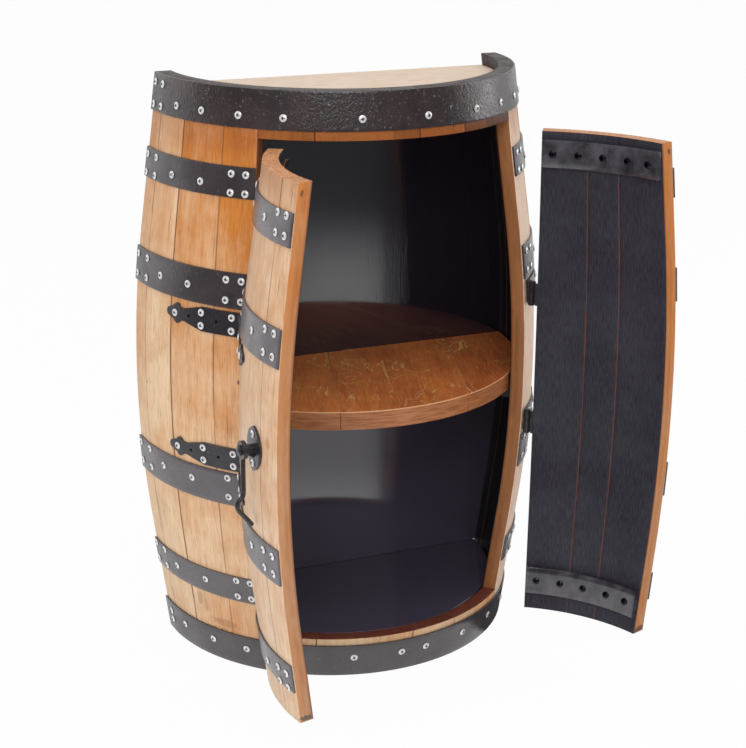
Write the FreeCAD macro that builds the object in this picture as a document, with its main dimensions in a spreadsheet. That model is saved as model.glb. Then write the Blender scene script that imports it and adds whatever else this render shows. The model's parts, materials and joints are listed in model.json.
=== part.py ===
import FreeCAD, Part

# Barrel bar cabinet: half of an oak barrel, cut lengthwise and stood on end, with two curved doors.
#
# Millimetres. +Z is up, the flat back lies in the plane y = 0 and the barrel's axis is the Z axis, so the
# curved front faces -Y. Angles round the barrel are in degrees from the front (-Y), positive to the right
# (+X). Pieces of revolution are made about the +X direction and then turned to their own angle.
# The doors' pieces are made shut, then each is swung about its hinge axis to the pose of rest.

import math
import operator
import os
from types import SimpleNamespace

import Sketcher
from FreeCAD import Placement, Rotation, Vector

# ---------------------------------------------------------------------------------------------------
# Driving dimensions
# ---------------------------------------------------------------------------------------------------

SIZES = {
    # barrel
    "stave_height": 880,
    "stave_thickness": 22,
    "bilge_radius": 317,        # outside of the staves at the widest level
    "bilge_level": 430,
    "bend_radius": 1720,        # of the staves' bow
    "bend_reach": 235,          # above and below the bilge; straight beyond
    # stave joints
    "left_joint_1": -82.5,
    "left_joint_2": -69.5,
    "left_joint_3": -54,
    "opening_left": -43,
    "left_door_joint_1": -26.5,
    "left_door_joint_2": -4,
    "door_seam": 4,
    "right_door_joint_1": 20,
    "right_door_joint_2": 30,
    "opening_right": 45,
    "right_joint_1": 58,
    "right_joint_2": 72,
    "right_joint_3": 84,
    # opening and doors
    "opening_bottom": 63,
    "opening_top_rail": 67,     # of staves left above the opening
    "door_gap": 2.5,
    "seam_gap": 2,
    # heads, back, shelf
    "head_thickness": 22,
    "top_head_depth": 18,       # top face below the stave ends
    "bottom_head_level": 61,    # top face above the floor
    "wood_gap": 0.3,
    "panel_thickness": 6,
    "shelf_level": 426,         # top face
    "shelf_thickness": 27.5,
    "shelf_gap": 4,             # behind the shut doors
    "board_skew": 18,
    "board_joint_1": -7,
    "board_joint_2": 187,
    "cleat_height": 20,
    "cleat_depth": 18,
    "cleat_back_angle": 3.5,    # short of the back plane
    "cleat_front_angle": 5,     # short of the opening
    "back_cleat_length": 300,
    # hoops: each band's distances from the nearer end of the staves
    "hoop_steel": 2.7,
    "hoop_gap": 0.3,
    "bottom_hoop_width": 52,
    "top_hoop_width": 54,
    "lower_quarter_from": 114,
    "lower_quarter_to": 156,
    "lower_bilge_from": 277,
    "lower_bilge_to": 329,
    "upper_bilge_from": 304,
    "upper_bilge_to": 253,
    "upper_quarter_from": 150,
    "upper_quarter_to": 107,
    # hinges
    "strap_height": 35,
    "strap_to_hoop": 4.5,
    "strap_steel": 3,
    "knuckle_inset": 0.5,       # of a knuckle's inner side, inside the bilge's radius
    "axis_setback": 1.35,       # degrees outside the edge of the opening
    "knuckle_radius": 6,
    "knuckle_gap": 0.3,
    "pin_radius": 3,
    "pin_clearance": 0.06,
    "pin_head_radius": 4.6,
    "pin_head_height": 2,
    "strap_root": 5.5,
    "strap_shoulder": 72,
    "strap_neck": 105,
    "strap_neck_half": 9,
    "strap_tip": 139,
    "lobe_radius": 6.5,
    "side_lobe_along": 118.5,
    "side_lobe_half": 14.6,     # half the height over both side lobes
    "ramp_length": 14,
    # latch
    "latch_angle": -7,
    "latch_half_height": 30.75,
    "latch_half_width": 23,
    "latch_steel": 3,
    "latch_seat": 0.5,
    "boss_radius": 6.5,
    "boss_height": 10.5,
    "post_radius": 4.5,
    "knob_radius": 7,
    "knob_height": 5,
    "knob_dome_rise": 2,
    "eye_thickness": 6,
    "eye_radius": 12.5,
    "eye_clearance": 0.08,
    "eye_side_gap": 0.2,
    "gusset_length": 13,
    "gusset_thickness": 6,
    "hook_rod_radius": 3.3,
    "hook_straight": 60,
    "hook_step": 9,
    "hook_step_drop": 17,
    "hook_curve_radius": 14,
    "hook_curve_in": 3.1,
    "hook_tip_length": 26,
    "latch_screw_reach": 20,
    # keeper
    "keeper_reach": 101,        # along the raised hook, from its pivot
    "keeper_half_height": 26,
    "keeper_half_width": 12,
    "fork_thickness": 5,
    "fork_wall": 3,
    "fork_clearance": 2.2,
    "fork_rise": 8,
    "fork_brace": 3,
    "keeper_screw_reach": 18,
    # battens inside the doors
    "batten_thickness": 9,
    "batten_end_angle": 0.6,
    "left_batten_seam_angle": 4.8,
    "top_batten_from": 122,     # from the top of the staves
    "top_batten_to": 81,
    "bottom_batten_from": 93,
    "bottom_batten_to": 134,
    # screws
    "screw_head_radius": 5.3,
    "screw_head_height": 2.4,
    "screw_head_edge": 0.8,
    "screw_shank_radius": 2.1,
    "screw_length": 16,
    "screw_point": 5,
    "screw_seat": 0.1,
    "screw_hole_clearance": 0.25,
    "recess_reach": 2.3,
    "recess_width": 1.3,
    "recess_depth": 1.5,
    # how far the doors stand open
    "left_door_open": 81,
    "right_door_open": 103,
}

# Screws through the hoops: degrees round the barrel.
SIDE_PAIRS_FROM_BACK = (2, 8.3)
SIDE_PAIRS_FROM_OPENING = (7.2, 2.7)
SIDE_SINGLES_FROM_BACK = {
    "lower_quarter": (15.2, 28.3),
    "lower_bilge": (15.6, 27.7),
    "upper_bilge": (15.9, 27.3),
    "upper_quarter": (17.6, 29.5),
}
DOOR_PAIRS_FROM_EDGE = (2.5, 7)
DOOR_SINGLE_FROM_SEAM = 15
TOP_HOOP_PAIRS = (-87.5, -82, 82, 87.5)
TOP_HOOP_SINGLES = (-73, -62, -49, -35.4, -13.2, 6.6, 24.9, 38.3, 51.3, 63, 74)
BOTTOM_HOOP_PAIRS = (-85, 85)
BOTTOM_HOOP_SINGLES = (-75.7, -61.8, -49, -35, -15, 0.2, 8.7, 24, 39, 53, 66, 76)
# Heights from the middle of the band: upper and lower screw of a pair, and a single screw.
SIDE_SCREW_HEIGHTS = {
    "lower_quarter": (15.5, -11.5, 2),
    "lower_bilge": (18, -12, 4),
    "upper_bilge": (15, -14, -1.5),
    "upper_quarter": (11.5, -14.5, -5),
}
DOOR_SCREW_HEIGHTS = {
    "lower_quarter": (5, -17, -6),
    "lower_bilge": (13.5, -12, 2),
    "upper_bilge": (18, -12, 4),
    "upper_quarter": (17, -8.5, 2),
}
TOP_SCREW_HEIGHTS = (14, -17.5, -10)
BOTTOM_SCREW_HEIGHTS = (10, -5, 5.5)
# Screws through a hinge leaf: distance from the pin along the leaf, and height from its middle.
STRAP_SCREWS = ((21, 9.5), (21, -9.5), (72, 9.5), (72, -9.5), (121, 0))
STRAP_EMPTY_HOLES = ((46, 0), (95, 0))
BATTEN_SCREW_SHARES = (0.09, 0.28, 0.5, 0.71, 0.92)
SCREW_TURN = 37                 # degrees from one screw's cross to the next
LOBE_CHORD = 0.96               # half the width of a strap's lobe where it begins, as a share of its radius
LOBE_RISE = 0.72                # how far a lobe stands out from there, as a share of its radius

DEGREES = 180 / math.pi

doc = FreeCAD.newDocument("BarrelBarCabinet")
sheet = doc.addObject("Spreadsheet::Sheet", "Sizes")
for row, (alias, length) in enumerate(SIZES.items(), start=1):
    sheet.set(f"A{row}", alias)
    sheet.set(f"B{row}", str(length))
    sheet.setAlias(f"B{row}", alias)
doc.recompute()


# ---------------------------------------------------------------------------------------------------
# Sizes
# ---------------------------------------------------------------------------------------------------

OPERATIONS = {"+": operator.add, "-": operator.sub, "*": operator.mul, "/": operator.truediv}


class Size:
    """A number, with the expression that works it out from the sheet."""

    def __init__(self, value, text=None):
        self.value = float(value)
        self.text = text or f"({self.value})"

    def joined(self, sign, other, swapped=False):
        first, second = (as_size(other), self) if swapped else (self, as_size(other))
        value = OPERATIONS[sign](first.value, second.value)
        return Size(value, f"({first.text} {sign} {second.text})")

    def __add__(self, other):
        return self.joined("+", other)

    def __radd__(self, other):
        return self.joined("+", other, swapped=True)

    def __sub__(self, other):
        return self.joined("-", other)

    def __rsub__(self, other):
        return self.joined("-", other, swapped=True)

    def __mul__(self, other):
        return self.joined("*", other)

    def __rmul__(self, other):
        return self.joined("*", other, swapped=True)

    def __truediv__(self, other):
        return self.joined("/", other)

    def __neg__(self):
        return 0 - self


def as_size(number):
    return number if isinstance(number, Size) else Size(number)


def root(number):
    return Size(math.sqrt(number.value), f"sqrt({number.text})")


def magnitude(number):
    return Size(abs(number.value), f"abs({number.text})")


def lesser(first, second):
    first, second = as_size(first), as_size(second)
    return Size(min(first.value, second.value), f"min({first.text}; {second.text})")


def greater(first, second):
    first, second = as_size(first), as_size(second)
    return Size(max(first.value, second.value), f"max({first.text}; {second.text})")


size = SimpleNamespace(**{alias: Size(sheet.get(alias), f"Sizes.{alias}") for alias in SIZES})


def barrel_radius(level):
    """Outside radius of the staves: an arc over the bilge, then its straight tangents."""
    run = magnitude(level - size.bilge_level)
    on_arc = lesser(run, size.bend_reach)
    bend = size.bend_radius
    sag = bend - root(bend * bend - on_arc * on_arc)
    slope = size.bend_reach / root(bend * bend - size.bend_reach * size.bend_reach)
    return size.bilge_radius - sag - greater(run - size.bend_reach, 0) * slope


def inner_radius(level):
    return barrel_radius(level) - size.stave_thickness


# Levels, radii and angles that several pieces share.
axis_radius = size.bilge_radius + size.knuckle_radius - size.knuckle_inset
shelf_radius = inner_radius(size.shelf_level) - size.shelf_gap
opening_top = size.stave_height - size.opening_top_rail
door_low = size.opening_bottom + size.door_gap
door_high = opening_top - size.door_gap
door_gap_angle = size.door_gap / size.bilge_radius * DEGREES
half_seam_angle = size.seam_gap / size.bilge_radius * (DEGREES / 2)
shelf_underside = size.shelf_level - size.shelf_thickness
top_head_high = size.stave_height - size.top_head_depth
top_head_low = top_head_high - size.head_thickness
HOOP_LEVELS = {
    "lower_quarter": (size.lower_quarter_from, size.lower_quarter_to),
    "lower_bilge": (size.lower_bilge_from, size.lower_bilge_to),
    "upper_bilge": (size.stave_height - size.upper_bilge_from, size.stave_height - size.upper_bilge_to),
    "upper_quarter": (size.stave_height - size.upper_quarter_from,
                      size.stave_height - size.upper_quarter_to),
}
upper_strap_high = HOOP_LEVELS["upper_bilge"][0] - size.strap_to_hoop
lower_strap_low = HOOP_LEVELS["lower_bilge"][1] + size.strap_to_hoop
STRAP_LEVELS = {
    "upper": (upper_strap_high - size.strap_height, upper_strap_high),
    "lower": (lower_strap_low, lower_strap_low + size.strap_height),
}
latch_level = (HOOP_LEVELS["lower_bilge"][1] + HOOP_LEVELS["upper_bilge"][0]) / 2


# ---------------------------------------------------------------------------------------------------
# Placing
# ---------------------------------------------------------------------------------------------------

UP = Vector(0, 0, 1)


def direction(angle, tilt=0):
    """Outward unit vector at an angle round the barrel, tilted up by so many degrees."""
    flat = math.cos(tilt / DEGREES)
    return Vector(math.sin(angle / DEGREES) * flat, -math.cos(angle / DEGREES) * flat,
                  math.sin(tilt / DEGREES))


def turned_to(angle):
    """Placement that turns a piece made about +X to an angle round the barrel."""
    return Placement(Vector(), Rotation(UP, angle - 90))


def swung(angle, by):
    """Placement that swings a shut door's piece about the hinge axis at that angle."""
    axis_point = direction(angle) * axis_radius.value
    return Placement(Vector(), Rotation(UP, by), axis_point)


left_axis = size.opening_left - size.axis_setback
right_axis = size.opening_right + size.axis_setback
REST = Placement()
LEFT_SWING = swung(left_axis.value, -size.left_door_open.value)
RIGHT_SWING = swung(right_axis.value, size.right_door_open.value)


# ---------------------------------------------------------------------------------------------------
# Sketches and features
# ---------------------------------------------------------------------------------------------------

NODES = []


def finished(thing, name, swing=REST):
    """Name a sub-part and swing it from the shut place where it was made."""
    thing.Label = name
    thing.Placement = swing.multiply(thing.Placement)
    NODES.append(thing)
    return thing


def new_body(name):
    body = doc.addObject("PartDesign::Body", name)
    body.Label = name
    return body


def new_sketch(body, plane, name, shift=None):
    """Sketch on one of the body's own planes; shift gives offsets along the sketch's x, y or z."""
    sketch = body.newObject("Sketcher::SketchObject", name)
    support = next(part for part in body.Origin.OriginFeatures if part.Role == plane)
    sketch.AttachmentSupport = [(support, "")]
    sketch.MapMode = "FlatFace"
    for way, distance in (shift or {}).items():
        sketch.setExpression(f"AttachmentOffset.Base.{way}", distance.text)
    return sketch


def arc_between(start, end, radius, side):
    """The lesser arc from start to end; side is +1 with its centre to the left of the way, else -1."""
    half = (end - start) * 0.5
    across = Vector(-half.y, half.x, 0).normalize()
    centre = start + half + across * (side * math.sqrt(max(radius ** 2 - half.Length ** 2, 0)))
    angles = [math.atan2(point.y - centre.y, point.x - centre.x) for point in (start, end)]
    if side < 0:
        angles.reverse()
    if angles[1] < angles[0]:
        angles[1] += 2 * math.pi
    return Part.ArcOfCircle(Part.Circle(centre, UP, radius), *angles)


def draw(sketch, corners, arcs=None, closed=True):
    """Lines from corner to corner, each corner held by two bound distances from the origin.

    arcs maps the number of the corner that an arc leaves to its radius and side.
    """
    arcs = arcs or {}
    corners = [(as_size(across), as_size(up)) for across, up in corners]
    points = [Vector(across.value, up.value, 0) for across, up in corners]
    edges = []
    for number in range(len(corners) if closed else len(corners) - 1):
        start, end = points[number], points[(number + 1) % len(points)]
        if number in arcs:
            radius, side = arcs[number]
            curve = sketch.addGeometry(arc_between(start, end, radius.value, side))
            edges.append((curve, 1, 2) if side > 0 else (curve, 2, 1))
            bind(sketch, Sketcher.Constraint("Radius", curve, radius.value), radius, f"radius_{curve}")
        else:
            edges.append((sketch.addGeometry(Part.LineSegment(start, end)), 1, 2))
    for number, (curve, _, end) in enumerate(edges):
        if closed or number < len(edges) - 1:
            following, start, _ = edges[(number + 1) % len(edges)]
            sketch.addConstraint(Sketcher.Constraint("Coincident", curve, end, following, start))
    ends = [(curve, start) for curve, start, _ in edges]
    if not closed:
        ends.append((edges[-1][0], edges[-1][2]))
    for (across, up), (curve, point) in zip(corners, ends):
        for kind, distance in (("DistanceX", across), ("DistanceY", up)):
            held = Sketcher.Constraint(kind, -1, 1, curve, point, distance.value)
            bind(sketch, held, distance, f"{kind}_{curve}_{point}")


def bind(sketch, constraint, distance, name):
    """Add a constraint whose length follows the sheet."""
    number = sketch.addConstraint(constraint)
    sketch.renameConstraint(number, name)
    sketch.setExpression(f"Constraints.{name}", distance.text)


def draw_circle(sketch, across, up, radius):
    """A circle whose centre and radius are bound."""
    centre = (as_size(across), as_size(up))
    place = Vector(centre[0].value, centre[1].value, 0)
    curve = sketch.addGeometry(Part.Circle(place, UP, radius.value))
    for kind, distance in zip(("DistanceX", "DistanceY"), centre):
        held = Sketcher.Constraint(kind, -1, 1, curve, 3, distance.value)
        bind(sketch, held, distance, f"{kind}_{curve}")
    bind(sketch, Sketcher.Constraint("Radius", curve, radius.value), radius, f"radius_{curve}")


def revolve(body, sketch, angle, about="V_Axis"):
    """Turn a sketch by half the angle to each side of its plane."""
    turn = body.newObject("PartDesign::Revolution", "Turn")
    turn.Profile = (sketch, [""])
    turn.ReferenceAxis = (sketch, [about])
    turn.Midplane = True
    turn.setExpression("Angle", as_size(angle).text)


def pad(body, sketch, length, middle=False):
    block = body.newObject("PartDesign::Pad", "Pad")
    block.Profile = (sketch, [""])
    block.SideType = "Symmetric" if middle else "One side"
    block.setExpression("Length", length.text)


def cut_through(body, sketch):
    """Cut all that the sketch covers, to both sides of its plane."""
    hole = body.newObject("PartDesign::Pocket", "Cut")
    hole.Profile = (sketch, [""])
    hole.Type = "ThroughAll"
    hole.SideType = "Symmetric"


def band_section(sketch, low, high, radius_at, thickness, gap=0):
    """Straight-sided section standing outside (or, with a negative thickness, inside) a surface."""
    inner = [(radius_at(level) + gap, level) for level in (low, high)]
    outer = [(across + thickness, level) for across, level in inner]
    draw(sketch, [inner[0], outer[0], outer[1], inner[1]])


def ring_piece(name, first, last, section, swing=REST, node=True):
    """Piece of revolution between two angles, from a function that draws its section."""
    body = new_body(name)
    sketch = new_sketch(body, "XZ_Plane", "Section")
    section(sketch)
    first, last = as_size(first), as_size(last)
    revolve(body, sketch, last - first)
    body.Placement = turned_to((first.value + last.value) / 2)
    return finished(body, name, swing) if node else body


def group(name, things, swing=REST):
    compound = doc.addObject("Part::Compound", name)
    compound.Links = things
    return finished(compound, name, swing)


# ---------------------------------------------------------------------------------------------------
# Screws
# ---------------------------------------------------------------------------------------------------


def make_screw():
    """Dome-headed wood screw along Z: its head's underside at 0, its shank below."""
    body = new_body("screw_pattern")
    profile = new_sketch(body, "XZ_Plane", "Profile")
    head, shank = size.screw_head_radius, size.screw_shank_radius
    dome = size.screw_head_height - size.screw_head_edge
    dome_radius = (head * head + dome * dome) / (2 * dome)
    corners = [
        (0, -size.screw_length),
        (shank, size.screw_point - size.screw_length),
        (shank, 0),
        (head, 0),
        (head, size.screw_head_edge),
        (0, size.screw_head_height),
    ]
    draw(profile, corners, {4: (dome_radius, 1)})
    revolve(body, profile, 360)
    cross = new_sketch(body, "XY_Plane", "Cross", {"z": size.screw_head_height})
    reach, half = size.recess_reach, size.recess_width / 2
    corner = [(reach, -half), (reach, half), (half, half)]
    quarters = [lambda x, y: (x, y), lambda x, y: (-y, x), lambda x, y: (-x, -y), lambda x, y: (y, -x)]
    draw(cross, [turn(x, y) for turn in quarters for x, y in corner])
    recess = body.newObject("PartDesign::Pocket", "Recess")
    recess.Profile = (cross, [""])
    recess.setExpression("Length", size.recess_depth.text)
    return body


def place_on(angle, level, radius, tilt):
    """Placement of a screw on a surface: at its radius, square to its slope."""
    outward = direction(angle, tilt)
    seat = direction(angle) * radius + UP * level + outward * size.screw_seat.value
    return Placement(seat, Rotation(UP, outward))


def place_on_band(angle, level, low, high, radius_at, stand_off):
    """Placement of a screw on a straight-sided band between two levels."""
    radii = [radius_at(end).value for end in (low, high)]
    share = (level - low.value) / (high.value - low.value)
    slope = (radii[0] - radii[1]) / (high.value - low.value)
    radius = radii[0] + (radii[1] - radii[0]) * share + stand_off
    return place_on(angle, level, radius, math.atan(slope) * DEGREES)


def inward(place):
    """The same seat, with the screw driven outwards from inside."""
    reversed_seat = Vector(0, 0, -2 * size.screw_seat.value)
    return place.multiply(Placement(reversed_seat, Rotation(Vector(1, 0, 0), 180)))


def screw_group(name, places, swing=REST):
    copies = []
    for number, place in enumerate(places):
        copy = SCREW.Shape.copy()
        copy.Placement = place.multiply(Placement(Vector(), Rotation(UP, SCREW_TURN * number)))
        copies.append(copy)
    feature = doc.addObject("Part::Feature", name)
    feature.Shape = Part.makeCompound(copies)
    return finished(feature, name, swing)


def drilled(name, piece, places, swing=REST):
    """The piece with a clearance hole for each screw that passes through it."""
    radius = size.screw_shank_radius.value + size.screw_hole_clearance.value
    reach = 4 * size.hoop_steel.value
    drills = []
    for place in places:
        drill = Part.makeCylinder(radius, 2 * reach, Vector(0, 0, -reach))
        drill.Placement = place
        drills.append(drill)
    holes = doc.addObject("Part::Feature", f"{name}_holes")
    holes.Shape = Part.makeCompound(drills)
    cut = doc.addObject("Part::Cut", name)
    cut.Base = piece
    cut.Tool = holes
    return finished(cut, name, swing)


# ---------------------------------------------------------------------------------------------------
# Staves, heads, back and shelf
# ---------------------------------------------------------------------------------------------------


def bowed_section(sketch, low, high):
    """Section of a stave that reaches past the bow's arc at both ends."""
    levels = [low, size.bilge_level - size.bend_reach, size.bilge_level + size.bend_reach, high]
    outer = [(barrel_radius(level), level) for level in levels]
    inner = [(inner_radius(level), level) for level in reversed(levels)]
    draw(sketch, outer + inner, {1: (size.bend_radius, 1), 5: (size.bend_radius, -1)})


def straight_section(sketch, low, high):
    band_section(sketch, low, high, barrel_radius, -size.stave_thickness)


def make_side_staves():
    left = [as_size(-90), size.left_joint_1, size.left_joint_2, size.left_joint_3, size.opening_left]
    right = [size.opening_right, size.right_joint_1, size.right_joint_2, size.right_joint_3, as_size(90)]
    for side, joints in (("left", left), ("right", right)):
        for number, (first, last) in enumerate(zip(joints, joints[1:]), start=1):
            ring_piece(f"{side}_stave_{number}", first, last,
                       lambda sketch: bowed_section(sketch, as_size(0), size.stave_height))


def make_stave_ends():
    joints = [size.opening_left, size.left_door_joint_1, size.left_door_joint_2, size.door_seam,
              size.right_door_joint_1, size.right_door_joint_2, size.opening_right]
    for name, low, high in (("bottom_stave_ends", as_size(0), size.opening_bottom),
                            ("top_stave_ends", opening_top, size.stave_height)):
        ends = [ring_piece(f"{name}_{number}", first, last,
                           lambda sketch: straight_section(sketch, low, high), node=False)
                for number, (first, last) in enumerate(zip(joints, joints[1:]), start=1)]
        group(name, ends)


def make_heads():
    def half_disc(sketch, low, high):
        fit = size.wood_gap
        rim = [(inner_radius(level) - fit, level) for level in (low, high)]
        draw(sketch, [(0, low), *rim, (0, high)])

    ring_piece("bottom_head", -90, 90,
               lambda sketch: half_disc(sketch, size.bottom_head_level - size.head_thickness,
                                        size.bottom_head_level))
    ring_piece("top_head", -90, 90, lambda sketch: half_disc(sketch, top_head_low, top_head_high))


def make_back_panel():
    """Flat board between the heads, its sides following the staves inside."""
    body = new_body("back_panel")
    sketch = new_sketch(body, "XZ_Plane", "Outline")

    def half_width(level):
        inside = inner_radius(level)
        return root(inside * inside - size.panel_thickness * size.panel_thickness) - size.wood_gap

    low = size.bottom_head_level + size.wood_gap
    high = top_head_low - size.wood_gap
    levels = [low, size.bilge_level - size.bend_reach, size.bilge_level + size.bend_reach, high]
    right = [(half_width(level), level) for level in levels]
    left = [(-half_width(level), level) for level in reversed(levels)]
    draw(sketch, right + left, {1: (size.bend_radius, 1), 5: (size.bend_radius, 1)})
    pad(body, sketch, size.panel_thickness)
    finished(body, "back_panel")


def make_shelf():
    """Three boards, glued edge to edge on the skew, cut to one half disc."""
    back = size.panel_thickness + size.wood_gap
    outline = new_body("shelf_outline")
    sketch = new_sketch(outline, "XY_Plane", "Outline", {"z": shelf_underside})
    half = root(shelf_radius * shelf_radius - back * back)
    draw(sketch, [(-half, -back), (half, -back)], {0: (shelf_radius, 1)})
    pad(outline, sketch, size.shelf_thickness)
    far = 2 * shelf_radius
    joints = [-far, size.board_joint_1, size.board_joint_2, far]
    skew = Rotation(UP, -size.board_skew.value)
    boards = []
    for number, (first, last) in enumerate(zip(joints, joints[1:]), start=1):
        blank = doc.addObject("Part::Box", f"shelf_blank_{number}")
        for way, length in (("Length", last - first), ("Width", 2 * far), ("Height", size.shelf_thickness)):
            blank.setExpression(way, length.text)
        corner = skew.multVec(Vector(first.value, -far.value, 0))
        blank.Placement = Placement(corner + UP * shelf_underside.value, skew)
        board = doc.addObject("Part::MultiCommon", f"shelf_board_{number}")
        board.Shapes = [outline, blank]
        boards.append(board)
    group("shelf_boards", boards)


def make_cleats():
    low = shelf_underside - size.cleat_height
    room = -size.wood_gap

    def section(sketch):
        band_section(sketch, low, shelf_underside, inner_radius, -size.cleat_depth, room)

    angles = (size.cleat_back_angle - 90, size.opening_left - size.cleat_front_angle)
    left = ring_piece("left_cleat", *angles, section, node=False)
    angles = (size.opening_right + size.cleat_front_angle, 90 - size.cleat_back_angle)
    right = ring_piece("right_cleat", *angles, section, node=False)
    back = doc.addObject("Part::Box", "back_cleat")
    for way, length in (("Length", size.back_cleat_length), ("Width", size.cleat_depth),
                        ("Height", size.cleat_height)):
        back.setExpression(way, length.text)
    behind = size.panel_thickness + size.wood_gap + size.cleat_depth
    corner = Vector(-size.back_cleat_length.value / 2, -behind.value, low.value)
    back.Placement = Placement(corner, Rotation())
    group("shelf_cleats", [left, right, back])


# ---------------------------------------------------------------------------------------------------
# Hoops
# ---------------------------------------------------------------------------------------------------


def hoop_section(sketch, low, high):
    band_section(sketch, low, high, barrel_radius, size.hoop_steel, size.hoop_gap)


def hoop_places(low, high, pairs, singles, heights):
    """Screw placements on a hoop: two at each of the pairs' angles, and one at each of the singles'."""
    stand_off = size.hoop_gap.value + size.hoop_steel.value
    middle = (low.value + high.value) / 2
    upper, lower, single = heights
    spots = [(angle, height) for angle in pairs for height in (upper, lower)]
    spots += [(angle, single) for angle in singles]
    return [place_on_band(angle, middle + height, low, high, barrel_radius, stand_off)
            for angle, height in spots]


def make_hoop(name, first, last, levels, places, swing=REST):
    low, high = levels
    blank = ring_piece(f"{name}_blank", first, last, lambda sketch: hoop_section(sketch, low, high),
                       node=False)
    drilled(name, blank, places, swing)
    return places


def make_head_hoops():
    top = (size.stave_height - size.top_hoop_width, size.stave_height)
    bottom = (as_size(0), size.bottom_hoop_width)
    places = make_hoop("top_head_hoop", -90, 90, top,
                       hoop_places(*top, TOP_HOOP_PAIRS, TOP_HOOP_SINGLES, TOP_SCREW_HEIGHTS))
    places += make_hoop("bottom_head_hoop", -90, 90, bottom,
                        hoop_places(*bottom, BOTTOM_HOOP_PAIRS, BOTTOM_HOOP_SINGLES, BOTTOM_SCREW_HEIGHTS))
    return places


def make_side_hoops():
    places = []
    for side, sign, first, last in (("left", -1, as_size(-90), size.opening_left),
                                    ("right", 1, size.opening_right, as_size(90))):
        jamb = (last if sign < 0 else first).value
        pairs = [sign * (90 - offset) for offset in SIDE_PAIRS_FROM_BACK]
        pairs += [jamb + sign * offset for offset in SIDE_PAIRS_FROM_OPENING]
        for hoop, levels in HOOP_LEVELS.items():
            singles = [sign * (90 - offset) for offset in SIDE_SINGLES_FROM_BACK[hoop]]
            spots = hoop_places(*levels, pairs, singles, SIDE_SCREW_HEIGHTS[hoop])
            places += make_hoop(f"{side}_{hoop}_hoop", first, last, levels, spots)
    return places


def make_door_hoops(side, first, last, swing):
    seam_edge, sign = (last.value, -1) if side == "left" else (first.value, 1)
    hinge_edge = first.value if side == "left" else last.value
    pairs = [seam_edge + sign * offset for offset in DOOR_PAIRS_FROM_EDGE]
    pairs += [hinge_edge - sign * offset for offset in DOOR_PAIRS_FROM_EDGE]
    singles = [seam_edge + sign * DOOR_SINGLE_FROM_SEAM]
    places = []
    for hoop, levels in HOOP_LEVELS.items():
        spots = hoop_places(*levels, pairs, singles, DOOR_SCREW_HEIGHTS[hoop])
        places += make_hoop(f"{side}_door_{hoop}_hoop", first, last, levels, spots, swing)
    return places


# ---------------------------------------------------------------------------------------------------
# Strap hinges
# ---------------------------------------------------------------------------------------------------


def knuckle_levels(low, high):
    """The pin's three knuckles, from below: side leaf, door leaf, side leaf."""
    third = (high - low) / 3
    half_gap = size.knuckle_gap / 2
    return [
        (low, low + third - half_gap),
        (low + third + half_gap, high - third - half_gap),
        (high - third + half_gap, high),
    ]


def strap_outline(sketch, sign, low, high):
    """Everything round the leaf's outline, to be cut away: a frame with the three-lobed leaf in it."""
    middle = (low + high) / 2
    half = (high - low) / 2
    far, beyond = 2 * size.strap_tip, high - low
    draw(sketch, [(-far, low - beyond), (far, low - beyond), (far, high + beyond), (-far, high + beyond)])
    lobe, along = size.lobe_radius, size.side_lobe_along
    chord, rise = LOBE_CHORD * lobe, LOBE_RISE * lobe
    lower_half = [
        (size.strap_root, half),
        (size.strap_shoulder, half),
        (size.strap_neck, size.strap_neck_half),
        (along - chord, size.side_lobe_half - rise),
        (along + chord, size.side_lobe_half - rise),
        (size.strap_tip - rise, chord),
    ]
    corners = [(sign * across, middle - down) for across, down in lower_half]
    corners += [(sign * across, middle + up) for across, up in reversed(lower_half)]
    rounded = (lobe, 1 if sign > 0 else -1)
    draw(sketch, corners, {3: rounded, 5: rounded, 7: rounded})


def make_leaf(name, sign, strap, knuckles, axis, places, swing=REST):
    """Hinge leaf made with the pin in the +X direction; sign is the side it reaches to."""
    low, high = STRAP_LEVELS[strap]
    stand = size.hoop_gap
    blank = new_body(f"{name}_blank")
    shell = new_sketch(blank, "XZ_Plane", "Shell")
    band_section(shell, low, high, barrel_radius, size.strap_steel, stand)
    reach = 2 * DEGREES * size.strap_tip / barrel_radius(low)
    revolve(blank, shell, 1.2 * reach)
    outline = new_sketch(blank, "YZ_Plane", "Outline")
    strap_outline(outline, sign, low, high)
    cut_through(blank, outline)
    pin = axis_radius
    round_top = (0.92 * size.knuckle_radius, 0.39 * size.knuckle_radius)
    for bottom, top in knuckles:
        widest = greater(barrel_radius(bottom), barrel_radius(top)) + stand
        ramp = new_sketch(blank, "XY_Plane", "Ramp", {"z": bottom})
        draw(ramp, [
            (widest + 0.15 * size.strap_steel, sign * (size.strap_root - 1)),
            (widest + 0.3 * size.strap_steel, sign * size.ramp_length),
            (pin + round_top[0], sign * round_top[1]),
            (pin, as_size(0)),
        ])
        pad(blank, ramp, top - bottom)
        knuckle = new_sketch(blank, "XY_Plane", "Knuckle", {"z": bottom})
        draw_circle(knuckle, pin, 0, size.knuckle_radius)
        pad(blank, knuckle, top - bottom)
    bore = new_sketch(blank, "XY_Plane", "Bore")
    draw_circle(bore, pin, 0, size.pin_radius + size.pin_clearance)
    cut_through(blank, bore)
    blank.Placement = turned_to(axis)
    drilled(name, blank, places, swing)


def strap_places(spots, sign, strap, axis):
    """Placements on a leaf of spots given as distance from the pin and height from the leaf's middle."""
    low, high = STRAP_LEVELS[strap]
    middle = (low.value + high.value) / 2
    stand_off = size.hoop_gap.value + size.strap_steel.value
    places = []
    for along, up in spots:
        radius = barrel_radius(low).value
        angle = axis + sign * math.asin(along / radius) * DEGREES
        places.append(place_on_band(angle, middle + up, low, high, barrel_radius, stand_off))
    return places


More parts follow.
